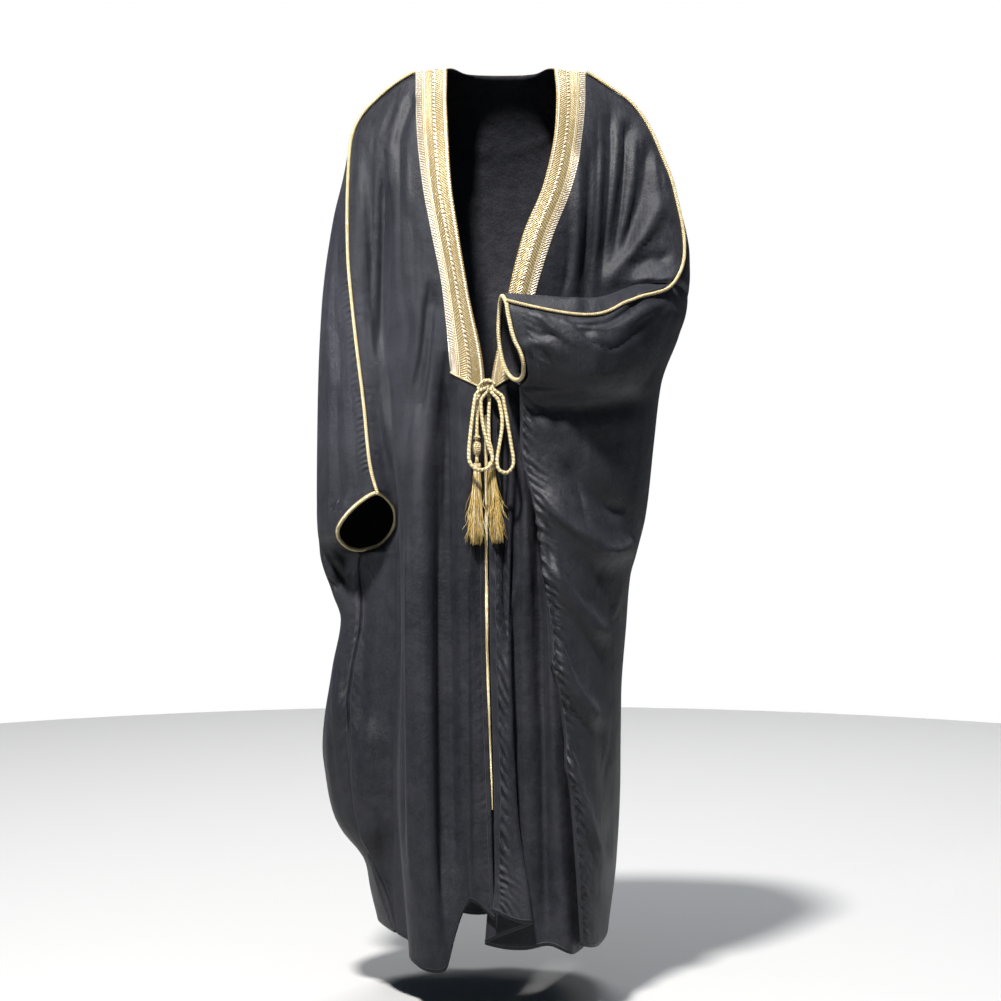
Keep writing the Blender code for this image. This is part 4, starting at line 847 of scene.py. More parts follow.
def cells(grid):
    """Corner numbers of each whole cell of a grid, row by row."""
    corners = np.stack([grid[:-1, :-1], grid[:-1, 1:], grid[1:, 1:], grid[1:, :-1]], axis=-1)
    return corners[(corners >= 0).all(axis=-1)]


def normals(points, grids):
    """Outward direction at each point of the cloth, one millimetre long, shared across its seams."""
    total = np.zeros_like(points)
    for side, grid in grids.items():
        quads = cells(grid)
        a, b, c, d = (points[quads[:, k]] for k in range(4))
        area = np.cross(c - a, d - b) * (-1 if side == "left" else 1)
        for k in range(4):
            np.add.at(total, quads[:, k], area)
    return total / np.maximum(np.linalg.norm(total, axis=1, keepdims=True), 1e-9)


def crease_height(points, facing, creases):
    """How far each point stands out because of the creases whose panel side faces it."""
    height = np.zeros(len(points))
    steps = np.linspace(0, 1, 17)
    for side, x0, z0, x1, z1, x2, z2, half_width, rise in creases:
        # A quadratic curve that passes its middle point halfway
        cx, cz = 2 * x1 - (x0 + x2) / 2, 2 * z1 - (z0 + z2) / 2
        xs = x0 * (1 - steps) ** 2 + 2 * cx * steps * (1 - steps) + x2 * steps ** 2
        zs = z0 * (1 - steps) ** 2 + 2 * cz * steps * (1 - steps) + z2 * steps ** 2
        near = facing[side] > 0.01
        px, pz = points[near, 0, None], points[near, 2, None]
        dx, dz = np.diff(xs), np.diff(zs)
        share = np.clip(((px - xs[:-1]) * dx + (pz - zs[:-1]) * dz) / (dx * dx + dz * dz), 0, 1)
        squared = (px - xs[:-1] - share * dx) ** 2 + (pz - zs[:-1] - share * dz) ** 2
        nearest = squared.argmin(axis=1)
        rank = np.arange(len(nearest))
        along = (nearest + share[rank, nearest]) / len(dx)
        fade = np.clip(np.minimum(along, 1 - along) * 5, 0, 1)
        fade = fade * fade * (3 - 2 * fade)
        height[near] += rise * np.exp(-squared[rank, nearest] / half_width ** 2) * fade * facing[side][near]
    return height


def facing_sides(points, outward, grids):
    """For each named side of the garment, how squarely each point looks that way."""
    front = np.clip(-outward[:, 1] * 1.5, 0, 1)
    rear = np.clip(outward[:, 1] * 1.5, 0, 1)
    member = {side: np.isin(np.arange(len(points)), grid[grid >= 0]) for side, grid in grids.items()}
    return {
        "right": front * member["right"],
        "left": front * member["left"],
        "back": rear * member["back"],
        "sleeve": front * member["back"] * (points[:, 0] > 0),
        "side": front * member["back"] * (points[:, 0] < 0),
    }


def shaped_cloth():
    """The finely laid cloth with its creases and puckers: points, grids, outward directions."""
    points, grids = lay_cloth()
    for creases, ripples in ((CREASES, ()), (fine_creases(), RIPPLES)):
        outward = normals(points, grids)
        height = crease_height(points, facing_sides(points, outward, grids), creases)
        for row in ripples:
            height += ripple_height(points, grids, *row)
        points = points + outward * height[:, None]
    for x, z, depth, reach, dx, dz in SHIFTS:
        squared = (points[:, 0] - x) ** 2 + (points[:, 2] - z) ** 2
        near = np.exp(-squared / reach ** 2) * (points[:, 1] < depth)
        points = points + near[:, None] * np.array([dx, 0, dz])
    at = cloth_rows()
    for side, first, last, start, end, passes in SOFTENED:
        rows = np.nonzero((at > first) & (at < last))[0]
        above, core, below = (grids[side][rows + step, start:end] for step in (-1, 0, 1))
        held = (above >= 0) & (core >= 0) & (below >= 0)
        for _ in range(passes):
            points[core[held]] = (points[above[held]] + 2 * points[core[held]] + points[below[held]]) / 4
    return points, grids, normals(points, grids)


def ripple_height(points, grids, side, column, first, last, rise, pitch, reach, slant, seed):
    """Short ripples that run in from the first or last column, uneven in size and spacing."""
    grid = grids[side]
    at = cloth_rows()
    rows = np.nonzero((at >= first) & (at <= last) & (grid[:, column] >= 0))[0]
    random = np.random.default_rng(seed)
    patch = grid[rows] if column == 0 else grid[rows, ::-1]
    patch = patch[:, (patch >= 0).all(axis=0)]
    spots = points[patch]
    steps = np.linalg.norm(np.diff(spots, axis=1), axis=2)
    away = np.concatenate([np.zeros((len(rows), 1)), np.cumsum(steps, axis=1)], axis=1)
    down = travelled(spots[:, 0])[:, None]

    def uneven(count, low, high):
        """Count random values between low and high, spread evenly down the seam."""
        return np.interp(down, np.linspace(0, down.max(), count), random.uniform(low, high, count))

    stretch = down / pitch + uneven(24, -0.45, 0.45)
    size = uneven(40, 0.25, 1.0)
    length = uneven(32, 0.6, 1.5) * reach
    ends = np.clip(np.minimum(down, down.max() - down) / RIPPLE_FADE, 0, 1)
    wave = np.sin(2 * math.pi * (stretch - slant * away / pitch))
    fall = np.exp(-(away / length) ** 2) * (1 - np.exp(-(away / RIPPLE_START) ** 2))
    height = np.zeros(len(points))
    height[patch] = rise * size * wave * fall * ends
    return height


def panel_across(points, grid):
    """Millimetres on a panel: from its first edge, down it, from its last edge, and up from its hem."""
    rows, columns = grid.shape
    across = np.zeros((rows, columns, 4))
    down = np.array([-level(row) for row in cloth_rows()])
    across[..., 1] = down[:, None]
    for i in range(rows):
        held = grid[i] >= 0
        far = travelled(points[grid[i, held]])
        across[i, held, 0] = far
        across[i, held, 2] = far[-1] - far
    for j in range(columns):
        held = grid[:, j] >= 0
        far = travelled(points[grid[held, j]])
        across[held, j, 3] = far[-1] - far
    return across


def build_panels(points, grids, outward, crepe):
    """The three panels of cloth."""
    pieces = {}
    for name, side in (("front_right", "right"), ("front_left", "left"), ("back", "back")):
        obj = panel_shell(name + "_cloth", points, outward, grids[side], side == "left")
        pieces[name] = place(obj, crepe[name], "crepe", name)
    return pieces


def across_grid(points, outward, grid, inner, outer, count=13):
    """Points and outward directions on a straight line between two places of a grid."""
    found = []
    for share in np.linspace(0, 1, count):
        row = inner[0] + (outer[0] - inner[0]) * share
        column = inner[1] + (outer[1] - inner[1]) * share
        i, j = min(int(row), grid.shape[0] - 2), min(int(column), grid.shape[1] - 2)
        s, t = row - i, column - j
        corner = grid[i:i + 2, j:j + 2]
        weight = np.array([[(1 - s) * (1 - t), (1 - s) * t], [s * (1 - t), s * t]])
        found.append([*(points[corner] * weight[..., None]).sum(axis=(0, 1)),
                      *(outward[corner] * weight[..., None]).sum(axis=(0, 1))])
    return np.array(found)


def strip(lines, step_across, step_down):
    """A strip of cloth resampled evenly: middles, outward directions, millimetres down it."""
    rows = []
    for line in lines:
        far = travelled(line[:, :3])
        share = np.linspace(0, far[-1], step_across + 1)
        rows.append([np.interp(share, far, column) for column in line.T])
    rows = np.array(rows).transpose(0, 2, 1)
    down = travelled(rows[:, step_across // 2, :3])
    places = np.linspace(0, down[-1], round(down[-1] / step_down) + 1)
    flat = rows.reshape(len(rows), -1)
    fine = np.stack([np.interp(places, down, flat[:, k]) for k in range(flat.shape[1])], axis=1)
    fine = fine.reshape(len(places), step_across + 1, 6)
    middle, away = fine[..., :3], fine[..., 3:]
    return middle, away / np.linalg.norm(away, axis=-1, keepdims=True), places


def band_height(across, down):
    """Relief of the embroidered band: across runs 0 to 1 from its inner edge to its outer."""
    height = np.zeros(np.broadcast(across, down).shape)
    links = 1 - LINK_DEPTH * (0.5 + 0.5 * np.cos(2 * math.pi * down / LINK_PITCH))
    for k, (low, high, rise) in enumerate(BAND_ROWS):
        middle, half = (low + high) / 2, (high - low) / 2
        share = np.clip(1 - ((across - middle) / half) ** 2, 0, None)
        height = np.maximum(height, rise * np.sqrt(share) * (links if k == LINK_ROW else 1.0))
    return height


def band_piece(name, middle, away, down, made):
    """An embroidered band on the cloth, its rows of thread raised."""
    count, columns = middle.shape[:2]
    across = np.linspace(0, 1, columns)[None, :]
    height = band_height(across, down[:, None])
    low = SHELL / 2 + BAND_CLEAR
    top = (middle + away * (low + BAND_BASE + height)[..., None]).reshape(-1, 3)
    under = (middle + away * low).reshape(-1, 3)
    quads = cells(np.arange(count * columns).reshape(count, columns))
    a, b, c, d = (top[quads[:, k]] for k in range(4))
    if (np.cross(c - a, d - b) * away.reshape(-1, 3)[quads[:, 0]]).sum() < 0:
        quads = quads[:, ::-1]
    where = np.stack(np.broadcast_arrays(across, down[:, None]), axis=-1).reshape(-1, 2)
    faces = closed_sheet(quads, count * columns)
    obj = new_mesh(name + "_embroidery", np.concatenate([top, under]) * MM, faces,
                   np.concatenate([where, where]))
    place(obj, made, "gold_thread", name)


def slant_end(middle, away, down):
    """Draw a band's lower end up towards its outer edge, so that it is cut on a slant."""
    share = np.linspace(0, 1, middle.shape[1])
    drop = BAND_SLANT * np.clip((share - BAND_SQUARE) / (1 - BAND_SQUARE), 0, 1)
    start = down[-1] - BAND_SLANT_FROM
    aim = start + (down[:, None] - start) * (1 - drop[None, :] / BAND_SLANT_FROM)
    aim = np.where(down[:, None] > start, aim, down[:, None])
    for k in range(middle.shape[1]):
        for table in (middle, away):
            for axis in range(3):
                table[:, k, axis] = np.interp(aim[:, k], down, table[:, k, axis])


def build_band_pieces(points, outward, grids, embroidery, gold):
    """The bands down the fronts and round the neck, each resampled from the cloth under it."""
    width = columns_to(FRONT_RIGHT, 1)
    for name, side in (("band_right", "right"), ("band_left", "left")):
        lines = [across_grid(points, outward, grids[side], (i, 0), (i, width))
                 for i in range(fine_row(BAND_END_ROW) + 1)]
        middle, away, down = strip(lines, BAND_COLUMNS, BAND_STEP)
        slant_end(middle, away, down)
        band_piece(name, middle, away, down, embroidery)
        # A thin cord binds the slanted end
        path = middle[-1] + away[-1] * (SHELL / 2 + END_CORD_LIFT)
        obj = cord_mesh(name + "_end", flowing(path, 1.0), END_CORD_RADIUS, "band end", sides=12)
        place(obj, gold, "gold_thread", name)
    shoulder = columns_to(FRONT_RIGHT)
    last = shoulder + columns_to(BACK[3:6])
    foot = FINER_ROWS
    # Behind the neck it turns at each shoulder, fanning round the corner of the neck opening
    ends = [((0, shoulder), (i, shoulder - width)) for i in range(foot + 1)]
    ends += [((0, shoulder), (foot, j)) for j in range(shoulder - width + 1, shoulder)]
    ends += [((0, j), (foot, j)) for j in range(shoulder, last + 1)]
    ends += [((0, last), (foot, j)) for j in range(last + 1, last + width)]
    ends += [((0, last), (i, last + width)) for i in range(foot, -1, -1)]
    lines = [across_grid(points, outward, grids["back"], inner, outer) for inner, outer in ends]
    band_piece("band_neck", *strip(lines, BAND_COLUMNS, BAND_STEP), embroidery)


def clear_path(path, radius, cloth, closed=False):
    """The path moved away from the cloth where a cord of this radius would cut into it."""
    path = np.array(path)
    need = radius + GAP
    count = len(path)
    for _ in range(CLEARING_PASSES):
        for k in range(count if closed else count - 1):
            after = (k + 1) % count
            for share in (0.0, 0.25, 0.5, 0.75, 1.0):
                spot = path[k] * (1 - share) + path[after] * share
                for tree in cloth:
                    near, _, _, distance = tree.find_nearest(spot)
                    if 0 < distance < need:
                        push = (spot - np.array(near)) / distance * (need - distance)
                        path[k] += push * (1 - share)
                        path[after] += push * share
    return path


def unit(vector):
    """The vector at a length of one."""
    return vector / np.linalg.norm(vector)


def cuff_side(points, grid, top, foot):
    """Centre of the binding cord along one side of a cuff, between its ends, off the cloth's edge."""
    path = []
    for i in range(top + 1, foot):
        above, row, below = (grid[k][grid[k] >= 0] for k in (i - 1, i, i + 1))
        along = unit(points[below[-1]] - points[above[-1]])
        across = points[row[-1]] - points[row[-2]]
        away = unit(across - along * across.dot(along))
        path.append(points[row[-1]] + away * (CUFF_RADIUS + GAP))
    return path


def cuff_loop(points, front, back, top, foot, before):
    """The closed loop round a cuff; before is the point ahead of it on the overarm seam."""
    reach = CUFF_RADIUS + GAP
    first, last, under = (front[k][front[k] >= 0][-1] for k in (top, foot, foot + 1))
    start = points[first] + unit(points[first] - points[before]) * reach
    end = points[last] + unit(points[last] - points[under]) * reach
    inner = cuff_side(points, front, top, foot)
    outer = cuff_side(points, back, top, foot)
    return np.array([start, *inner, end, *outer[::-1]])


def build_tie_cords(gold):
    """The two loops and two tails of the tie, on the routes of their CAD tubes."""
    made = {}
    for name, route in TIE_ROUTES:
        if name in ARCHES:
            before, first, last, after = ARCHES[name]
            route = [*before, *route[first:len(route) - last], *after]
        path = flowing(route, TIE_STEP, parts=12)
        # Upright ends, so that the end faces lie flat against what they meet
        path[1, :2] = path[0, :2]
        path[-2, :2] = path[-1, :2]
        path = flowing(path, 1.0)
        obj = cord_mesh(name + "_laid", path, CORD_RADIUS, "tie")
        made[name] = (place(obj, gold, "gold_thread", name), path)
    return made


def build_waist_knot(gold):
    """Cord wound round the ends of the bands, with strands over it and behind it."""
    centre = np.array(KNOT_CENTRE)
    turns = np.linspace(0, 2 * math.pi * KNOT_TURNS, 90)
    length, deep, high = KNOT_WIND
    along = length * (turns / turns[-1] - 0.5)
    wound = centre + np.stack([along, deep * np.cos(turns), KNOT_RISE + high * np.sin(turns)], axis=1)
    parts = [cord_mesh("waist_knot_wound", evenly(wound, 1.0), KNOT_CORDS[0], "tie")]
    for k, route in enumerate(KNOT_STRANDS):
        path = flowing(centre + np.array(route), 1.0)
        parts.append(cord_mesh(f"waist_knot_strand_{k}", path, KNOT_CORDS[1], "tie"))
    place(joined("waist_knot_tied", parts), gold, "gold_thread", "waist_knot")


def coil(x, y, top, reach, angle, height):
    """A cord's path wound down round an upright axis."""
    down = height * (angle / angle[-1])
    return np.stack([x + reach * np.cos(angle), y + reach * np.sin(angle), top - down], axis=1)


def build_tail_knots(gold):
    """The knots in the right tail: cord wound round it, fullest halfway."""
    made = []
    for name, top, height, widest in TAIL_KNOTS:
        deep = height - 2 * TAIL_WIND
        turns = max(round(deep / (TAIL_TIGHT * TAIL_WIND)), 2)
        angle = np.linspace(0, 2 * math.pi * turns, 40 * turns)
        bulge = 0.55 + 0.45 * np.sin(math.pi * angle / angle[-1]) ** 0.7
        reach = (widest - TAIL_WIND + TAIL_SWELL) * bulge
        wound = coil(TAIL_RIGHT_X, TAIL_RIGHT_Y, top - TAIL_WIND, reach, angle, deep)
        obj = cord_mesh(name + "_wound", evenly(wound, 0.8), TAIL_WIND + TAIL_OVERLAP, "tail knot", sides=12)
        made.append(place(obj, gold, "gold_thread", name))
    return made


def joined(name, parts):
    """One object from several, each left in its own place."""
    corners, faces, where = [], [], []
    for part in parts:
        mesh = part.data
        start = len(corners)
        corners += [tuple(v.co) for v in mesh.vertices]
        faces += [tuple(start + v for v in face.vertices) for face in mesh.polygons]
        coordinate = {}
        for loop, uv in zip(mesh.loops, mesh.uv_layers["lay"].uv):
            coordinate[loop.vertex_index] = tuple(uv.vector)
        where += [coordinate[k] for k in range(len(mesh.vertices))]
        bpy.data.objects.remove(part)
    return new_mesh(name, corners, faces, where)


def eased(path, times, closed=False):
    """The path with its corners eased; open ends stay where they are."""
    path = np.array(path, float)
    for _ in range(times):
        middle = (np.roll(path, 1, axis=0) + 2 * path + np.roll(path, -1, axis=0)) / 4
        path = middle if closed else np.concatenate([path[:1], middle[1:-1], path[-1:]])
    return path


def build_tassel(name, top, lean, spread, seed, silk, gold):
    """A tassel of fine threads under a bound head, in the room of its CAD solid; the head is returned."""
    x, y, z = top
    random = np.random.default_rng(seed + THREAD_SEED)
    down = np.linspace(0, 1, THREAD_STEPS + 1)
    grown = 1 + (np.array(spread) - 1) * down[:, None] ** 0.8
    drift = np.array(lean) * down[:, None] ** 1.3
    numbers = np.arange(len(down) * 4).reshape(-1, 4)
    above, below = numbers[:-1], numbers[1:]
    sides = np.stack([above, below, np.roll(below, -1, axis=1), np.roll(above, -1, axis=1)], axis=-1)
    tube = np.concatenate([sides.reshape(-1, 4), numbers[:1], numbers[-1:, ::-1]])
    corners, where = [], []
    for k in range(THREADS):
        angle = random.uniform(0, 2 * math.pi)
        reach = TASSEL_HEAD_RADIUS * THREAD_ROOM * math.sqrt(random.uniform(0.02, 1))
        start = np.array([reach * math.cos(angle), reach * math.sin(angle)])
        stray = k < STRAYS
        sway = random.uniform(-THREAD_SWAY, THREAD_SWAY, (THREAD_WAVES, 2))
        length = TASSEL_LENGTH * random.uniform(*(STRAY_LENGTHS if stray else THREAD_LENGTHS))
        thick = random.uniform(*THREAD_RADII)
        line = start * grown + drift
        for m in range(THREAD_WAVES):
            size = down[:, None] * (0.42 if m else 1.0)
            line += sway[m] * size * np.sin(math.pi * (m + 0.7) * down)[:, None]
        if stray:
            # It leaves the others halfway and ends in a curl
            curl = np.clip(down - 0.5, 0, 1)[:, None] * 2
            bend = random.uniform(0, 2 * math.pi) + 5.0 * curl[:, 0] ** 2
            line += curl * (np.sign(start) * 7.0 + 2.4 * np.stack([np.cos(bend), np.sin(bend)], axis=1))
        narrow = thick * (1 - 0.3 * down)
        height = z - TASSEL_HEAD_HEIGHT + THREAD_TUCK - (length + THREAD_TUCK) * down
        for side in range(4):
            turn = math.pi / 2 * side + angle
            corners.append(np.stack([x + line[:, 0] + narrow * math.cos(turn),
                                     y + line[:, 1] + narrow * math.sin(turn), height], axis=1))
            where.append(np.stack([np.full(len(down), k + side / 4), length * down], axis=1))
    corners, where = (np.array(rows).reshape(THREADS, 4, len(down), -1).swapaxes(1, 2)
                      for rows in (corners, where))
    starts = np.arange(THREADS) * numbers.size
    faces = (tube + starts[:, None, None]).reshape(-1, 4)
    skirt = new_mesh(name + "_threads", corners.reshape(-1, 3) * MM, faces, where.reshape(-1, 2))
    place(skirt, silk, "gold_silk", name)

    # The head is thread wound round its core, with a narrower neck above the skirt
    angle = np.linspace(0, 2 * math.pi * HEAD_TURNS, 32 * HEAD_TURNS)
    profile = np.interp(angle / angle[-1], *zip(*HEAD_PROFILE))
    wound = coil(x, y, z - 1.0, profile, angle, TASSEL_HEAD_HEIGHT - 1.2)
    head = cord_mesh(name + "_head", evenly(wound, 0.8), HEAD_THREAD, "tassel head", sides=8)
    return place(head, gold, "gold_thread", name)


def sewn_cord(name, path, reach, cloth, gold):
    """A cord on a seam, carried on by reach to meet the cuff's cord."""
    path = clear_path(eased(evenly(path, SEWN_STEP), 4), CORD_SEAT * OVERARM_RADIUS - GAP, cloth)
    for _ in range(2):
        for spot in path:
            # Where its corner was eased inside the sleeve it comes out to the front again
            start = (spot[0], spot[1] - SEARCH, spot[2])
            hits = [tree.ray_cast(start, (0, 1, 0), SEARCH)[0] for tree in cloth]
            if name == "overarm_cord_left" and spot[2] < ELBOW_LEVEL and any(hits):
                spot[1] = min(hit[1] for hit in hits if hit is not None) - CORD_SEAT * OVERARM_RADIUS
        path = eased(path, 2)
    path = np.vstack([path, path[-1] + unit(path[-1] - path[-2]) * reach])
    obj = cord_mesh(name + "_laid", flowing(path, 1.1), OVERARM_RADIUS, "overarm")
    place(obj, gold, "gold_thread", name)


def build_overarm_cords(points, outward, grids, cloth, gold):
    """Laid cord on the seam along the top of each arm, from the band to the cuff."""
    width = columns_to(FRONT_RIGHT, 1)
    right, left = grids["right"], grids["left"]
    top, elbow = fine_row(RIGHT_CUFF_TOP), fine_row(ELBOW_ROW)
    end, bend = columns_to(FRONT_RIGHT), columns_to(FRONT_LEFT, -3)
    seams = (("overarm_cord_right", [*right[0, width:end], *right[:top + 1, end]], 7.0),
             ("overarm_cord_left", [*left[0, width:bend], *left[:elbow, bend], *left[elbow, bend:]], 4.0))
    for name, seam, reach in seams:
        lifted = points[seam] + outward[seam] * (SHELL / 2 + CORD_SEAT * OVERARM_RADIUS)
        sewn_cord(name, lifted, reach, cloth, gold)


def build_cuff_cords(points, grids, cloth, gold):
    """The laid cord that binds each cuff."""
    # Name, side, direction of the back's columns, top and foot rows, the seam's point ahead, easing rounds
    cuffs = (
        ("cuff_cord_right", "right", -1, RIGHT_CUFF_TOP, RIGHT_CUFF_FOOT, (-1, -1), 1),
        ("cuff_cord_left", "left", 1, ELBOW_ROW, LEFT_CUFF_FOOT, (0, -2), 3),
    )
    for name, side, way, top, foot, (up, column), times in cuffs:
        front, back = grids[side], grids["back"][:, ::way]
        start = fine_row(top)
        path = cuff_loop(points, front, back, start, fine_row(foot), front[start + up, column])
        path = clear_path(eased(path[::3], times, closed=True), CUFF_RADIUS, cloth, closed=True)
        path = flowing(path, 1.1, closed=True)
        place(cord_mesh(name + "_laid", path, CUFF_FULL, "cuff", closed=True), gold, "gold_thread", name)


def edge_path(points, grid, end_row):
    """A path just off a front edge, from below the knot to a row."""
    rows = slice(fine_row(BAND_END_ROW) + FINER_ROWS, fine_row(end_row) + 1)
    edge = points[grid[rows, 0]]
    away = edge - points[grid[rows, 1]]
    away /= np.linalg.norm(away, axis=1, keepdims=True)
    return evenly(edge + away * (PIPING_RADIUS + GAP), PIPING_STEP)


def build_piping(points, grids, cloth, gold):
    """Piping down the right front edge, thinner towards its end, and a short one on the left edge."""
    path = flowing(clear_path(edge_path(points, grids["right"], PIPING_SEEN_ROW), PIPING_RADIUS, cloth), 1.2)
    thick = EDGE_RADIUS * np.interp(np.linspace(0, 1, len(path)), *zip(*PIPING_TAPER))
    obj = cord_mesh("front_piping_laid", path, thick[:, None], "piping", sides=16)
    place(obj, gold, "gold_thread", "front_piping")
    path = flowing(edge_path(points, grids["left"], LEFT_PIPING_END), 1.2)
    obj = cord_mesh("front_left_piping", path, PIPING_RADIUS, "left piping", sides=12)
    place(obj, gold, "gold_thread")


class Shade:
    """Short ways to write a material's nodes."""

    def __init__(self, name):
        self.made = bpy.data.materials.new(name)
        self.made.use_nodes = True
        self.tree = self.made.node_tree
        self.shader = self.tree.nodes["Principled BSDF"]

    def feed(self, socket, value):
        if isinstance(value, bpy.types.NodeSocket):
            self.tree.links.new(value, socket)
        else:
            socket.default_value = value

    def node(self, kind, inputs=(), **settings):
        """A node of this kind, its inputs fed by name or by number."""
        node = self.tree.nodes.new(kind)
        for key, value in settings.items():
            setattr(node, key, value)
        for key, value in dict(inputs).items():
            self.feed(node.inputs[key], value)
        return node

    def math(self, operation, *values):
        return self.node("ShaderNodeMath", enumerate(values), operation=operation).outputs[0]

    def times(self, first, *others):
        for other in others:
            first = self.math("MULTIPLY", first, other)
        return first

    def plus(self, first, second):
        return self.math("ADD", first, second)

    def minus(self, first, second):
        return self.math("SUBTRACT", first, second)

    def most(self, first, second):
        return self.math("MAXIMUM", first, second)

    def lay(self, layer="lay"):
        """The piece's own coordinate: across or round it, and along it."""
        found = self.node("ShaderNodeUVMap", uv_map=layer)
        parts = self.node("ShaderNodeSeparateXYZ", {0: found.outputs[0]})
        return parts.outputs[0], parts.outputs[1]

    def noise(self, scale, detail, roughness, stretch=(1, 1, 1)):
        """Noise on the object's coordinates in metres, times stretch."""
        found = self.node("ShaderNodeTexCoord")
        mapped = self.node("ShaderNodeMapping", {"Vector": found.outputs["Object"], "Scale": stretch})
        return self.node("ShaderNodeTexNoise", {
            "Vector": mapped.outputs[0], "Scale": scale, "Detail": detail, "Roughness": roughness,
        }).outputs["Fac"]

    def wave(self, value, pitch):
        """A sine wave of value, one turn in every pitch."""
        return self.math("SINE", self.times(value, 2 * math.pi / pitch))

    def between(self, value, low, high, first, second):
        """Value from low to high turned into first to second, held at the ends."""
        return self.node("ShaderNodeMapRange", enumerate((value, low, high, first, second))).outputs[0]

    def line(self, value, middle, half):
        """One on a line round middle, and nothing beyond half from it."""
        off = self.math("ABSOLUTE", self.minus(value, middle))
        return self.between(off, 0.4 * half, half, 1.0, 0.0)

    def mix(self, share, first, second):
        colours = [(*colour, 1) if isinstance(colour, tuple) else colour for colour in (first, second)]
        inputs = {"Factor": share, 6: colours[0], 7: colours[1]}
        return self.node("ShaderNodeMix", inputs, data_type="RGBA").outputs[2]

    def steps(self, value, stops):
        """The colour of the last stop that value has passed."""
        node = self.node("ShaderNodeValToRGB", {0: value})
        node.color_ramp.interpolation = "CONSTANT"
        while len(node.color_ramp.elements) < len(stops):
            node.color_ramp.elements.new(1.0)
        for element, (start, colour) in zip(node.color_ramp.elements, stops):
            element.position = start
            element.color = (*colour, 1)
        return node.outputs[0]

    def bump(self, height, distance, strength=1.0, before=None):
        """A normal for relief of this height, over the normal from before."""
        inputs = {"Height": height, "Distance": distance, "Strength": strength}
        if before is not None:
            inputs["Normal"] = before
        return self.node("ShaderNodeBump", inputs).outputs[0]

    def finish(self, colour, roughness, normal=None, **sockets):
        self.feed(self.shader.inputs["Base Color"], colour)
        self.feed(self.shader.inputs["Roughness"], roughness)
        if normal is not None:
            self.feed(self.shader.inputs["Normal"], normal)
        for name, value in sockets.items():
            self.shader.inputs[name.replace("_", " ")].default_value = value
        return self.made


def puckers(s, down, away, broad, uneven, pitch, reach, slant):
    """Short ridges that run in from a seam and die out over reach."""
    run = s.plus(s.minus(down, s.times(away, slant)), s.times(broad, 1.6 * pitch))
    ridges = s.wave(run, pitch)
    fall = s.math("EXPONENT", s.times(s.most(away, 0.0), -1.0 / reach))
    fall = s.times(fall, s.between(away, -1.0, 3.0, 0.0, 1.0), s.between(uneven, 0.36, 0.62, 0.15, 1.0))
    return s.times(ridges, fall)


def crepe_material(name, shine, seams):
    """Black satin-faced crepe: a fine pebbled weave, puckered seams, rolled and stitched hem."""
    s = Shade("crepe_" + name)
    first, down = s.lay("lay")
    last, hem = s.lay("rim")
    edges = {"first": first, "last": last}
    # Crepe yarns: two fine sets of ribs, broken up by an uneven grain
    grain = s.noise(620.0, 2.0, 0.6, (1, 1, 0.55))
    weave = s.plus(grain, s.times(s.times(s.wave(first, YARN_PITCH), s.wave(down, YARN_PITCH)), 0.16))
    normal = None
    for stretch, detail, roughness, distance, strength in CREPE_RELIEF:
        watered = s.noise(1.0, detail, roughness, stretch)
        normal = s.bump(watered, distance, strength, normal)
    uneven = s.noise(34.0, 2.0, 0.55)
    broad = s.noise(13.0, 1.0, 0.5)
    stitched = s.line(hem, HEM_WIDTH, 0.9)
    faced = 0.0
    for edge, start, end, seam, rise, pitch, reach, slant in seams:
        away = s.minus(edges[edge], float(seam))
        held = s.times(s.between(down, start, start + 30.0, 0.0, 1.0),
                       s.between(down, end - 20.0, end, 1.0, 0.0))
        height = s.times(puckers(s, down, away, broad, uneven, pitch, reach, slant), held)
        normal = s.bump(height, rise * MM, 1.0, normal)
        stitched = s.most(stitched, s.times(s.line(away, 0.0, STITCH_HALF), held))
        if seam >= FACING:
            # A turned facing: sewn along both its sides, and a little paler
            stitched = s.most(stitched, s.times(s.line(edges[edge], 1.8, STITCH_HALF), held))
            faced = s.times(s.between(edges[edge], seam - 0.5, seam + 0.5, 0.7, 0.0), held)
    roll = s.times(s.between(hem, 0.0, HEM_WIDTH, 1.0, 0.0), 0.6)
    normal = s.bump(s.minus(roll, stitched), 0.0011, 0.9, normal)
    normal = s.bump(weave, 0.0003, 0.7, normal)
    cloudy = s.noise(9.0, 3.0, 0.6)
    # Colour mottle: partly tone that differs at random, partly painted sheen, its lighter patches standing in
    # for the satin's highlights
    mottle_and_sheen = s.plus(s.times(cloudy, 0.5), s.times(watered, 0.5))
    colour = s.mix(s.between(mottle_and_sheen, 0.39, 0.61, 0.0, 1.0), CREPE_DARK, CREPE_LIGHT)
    colour = s.mix(s.between(weave, 0.3, 0.75, 0.0, 0.5), colour, CREPE_FLECK)
    colour = s.mix(faced, colour, FACING_COLOUR)
    dash = s.between(s.wave(s.plus(down, first), STITCH_LENGTH), -0.3, 0.1, 0.0, 0.8)
    colour = s.mix(s.times(stitched, dash), colour, STITCH_AND_HEM_HIGHLIGHT)
    # Painted highlight: the hem's outer edge lightened towards the stitch colour
    colour = s.mix(s.between(hem, 0.0, 1.6, 0.55, 0.0), colour, STITCH_AND_HEM_HIGHLIGHT)
    rough = s.between(s.plus(cloudy, s.times(grain, 0.4)), 0.5, 0.9, 0.48, 0.64)
    return s.finish(colour, rough, normal, Sheen_Weight=0.03, Sheen_Roughness=0.5,
                    Sheen_Tint=(0.75, 0.78, 0.9, 1), Specular_IOR_Level=shine)


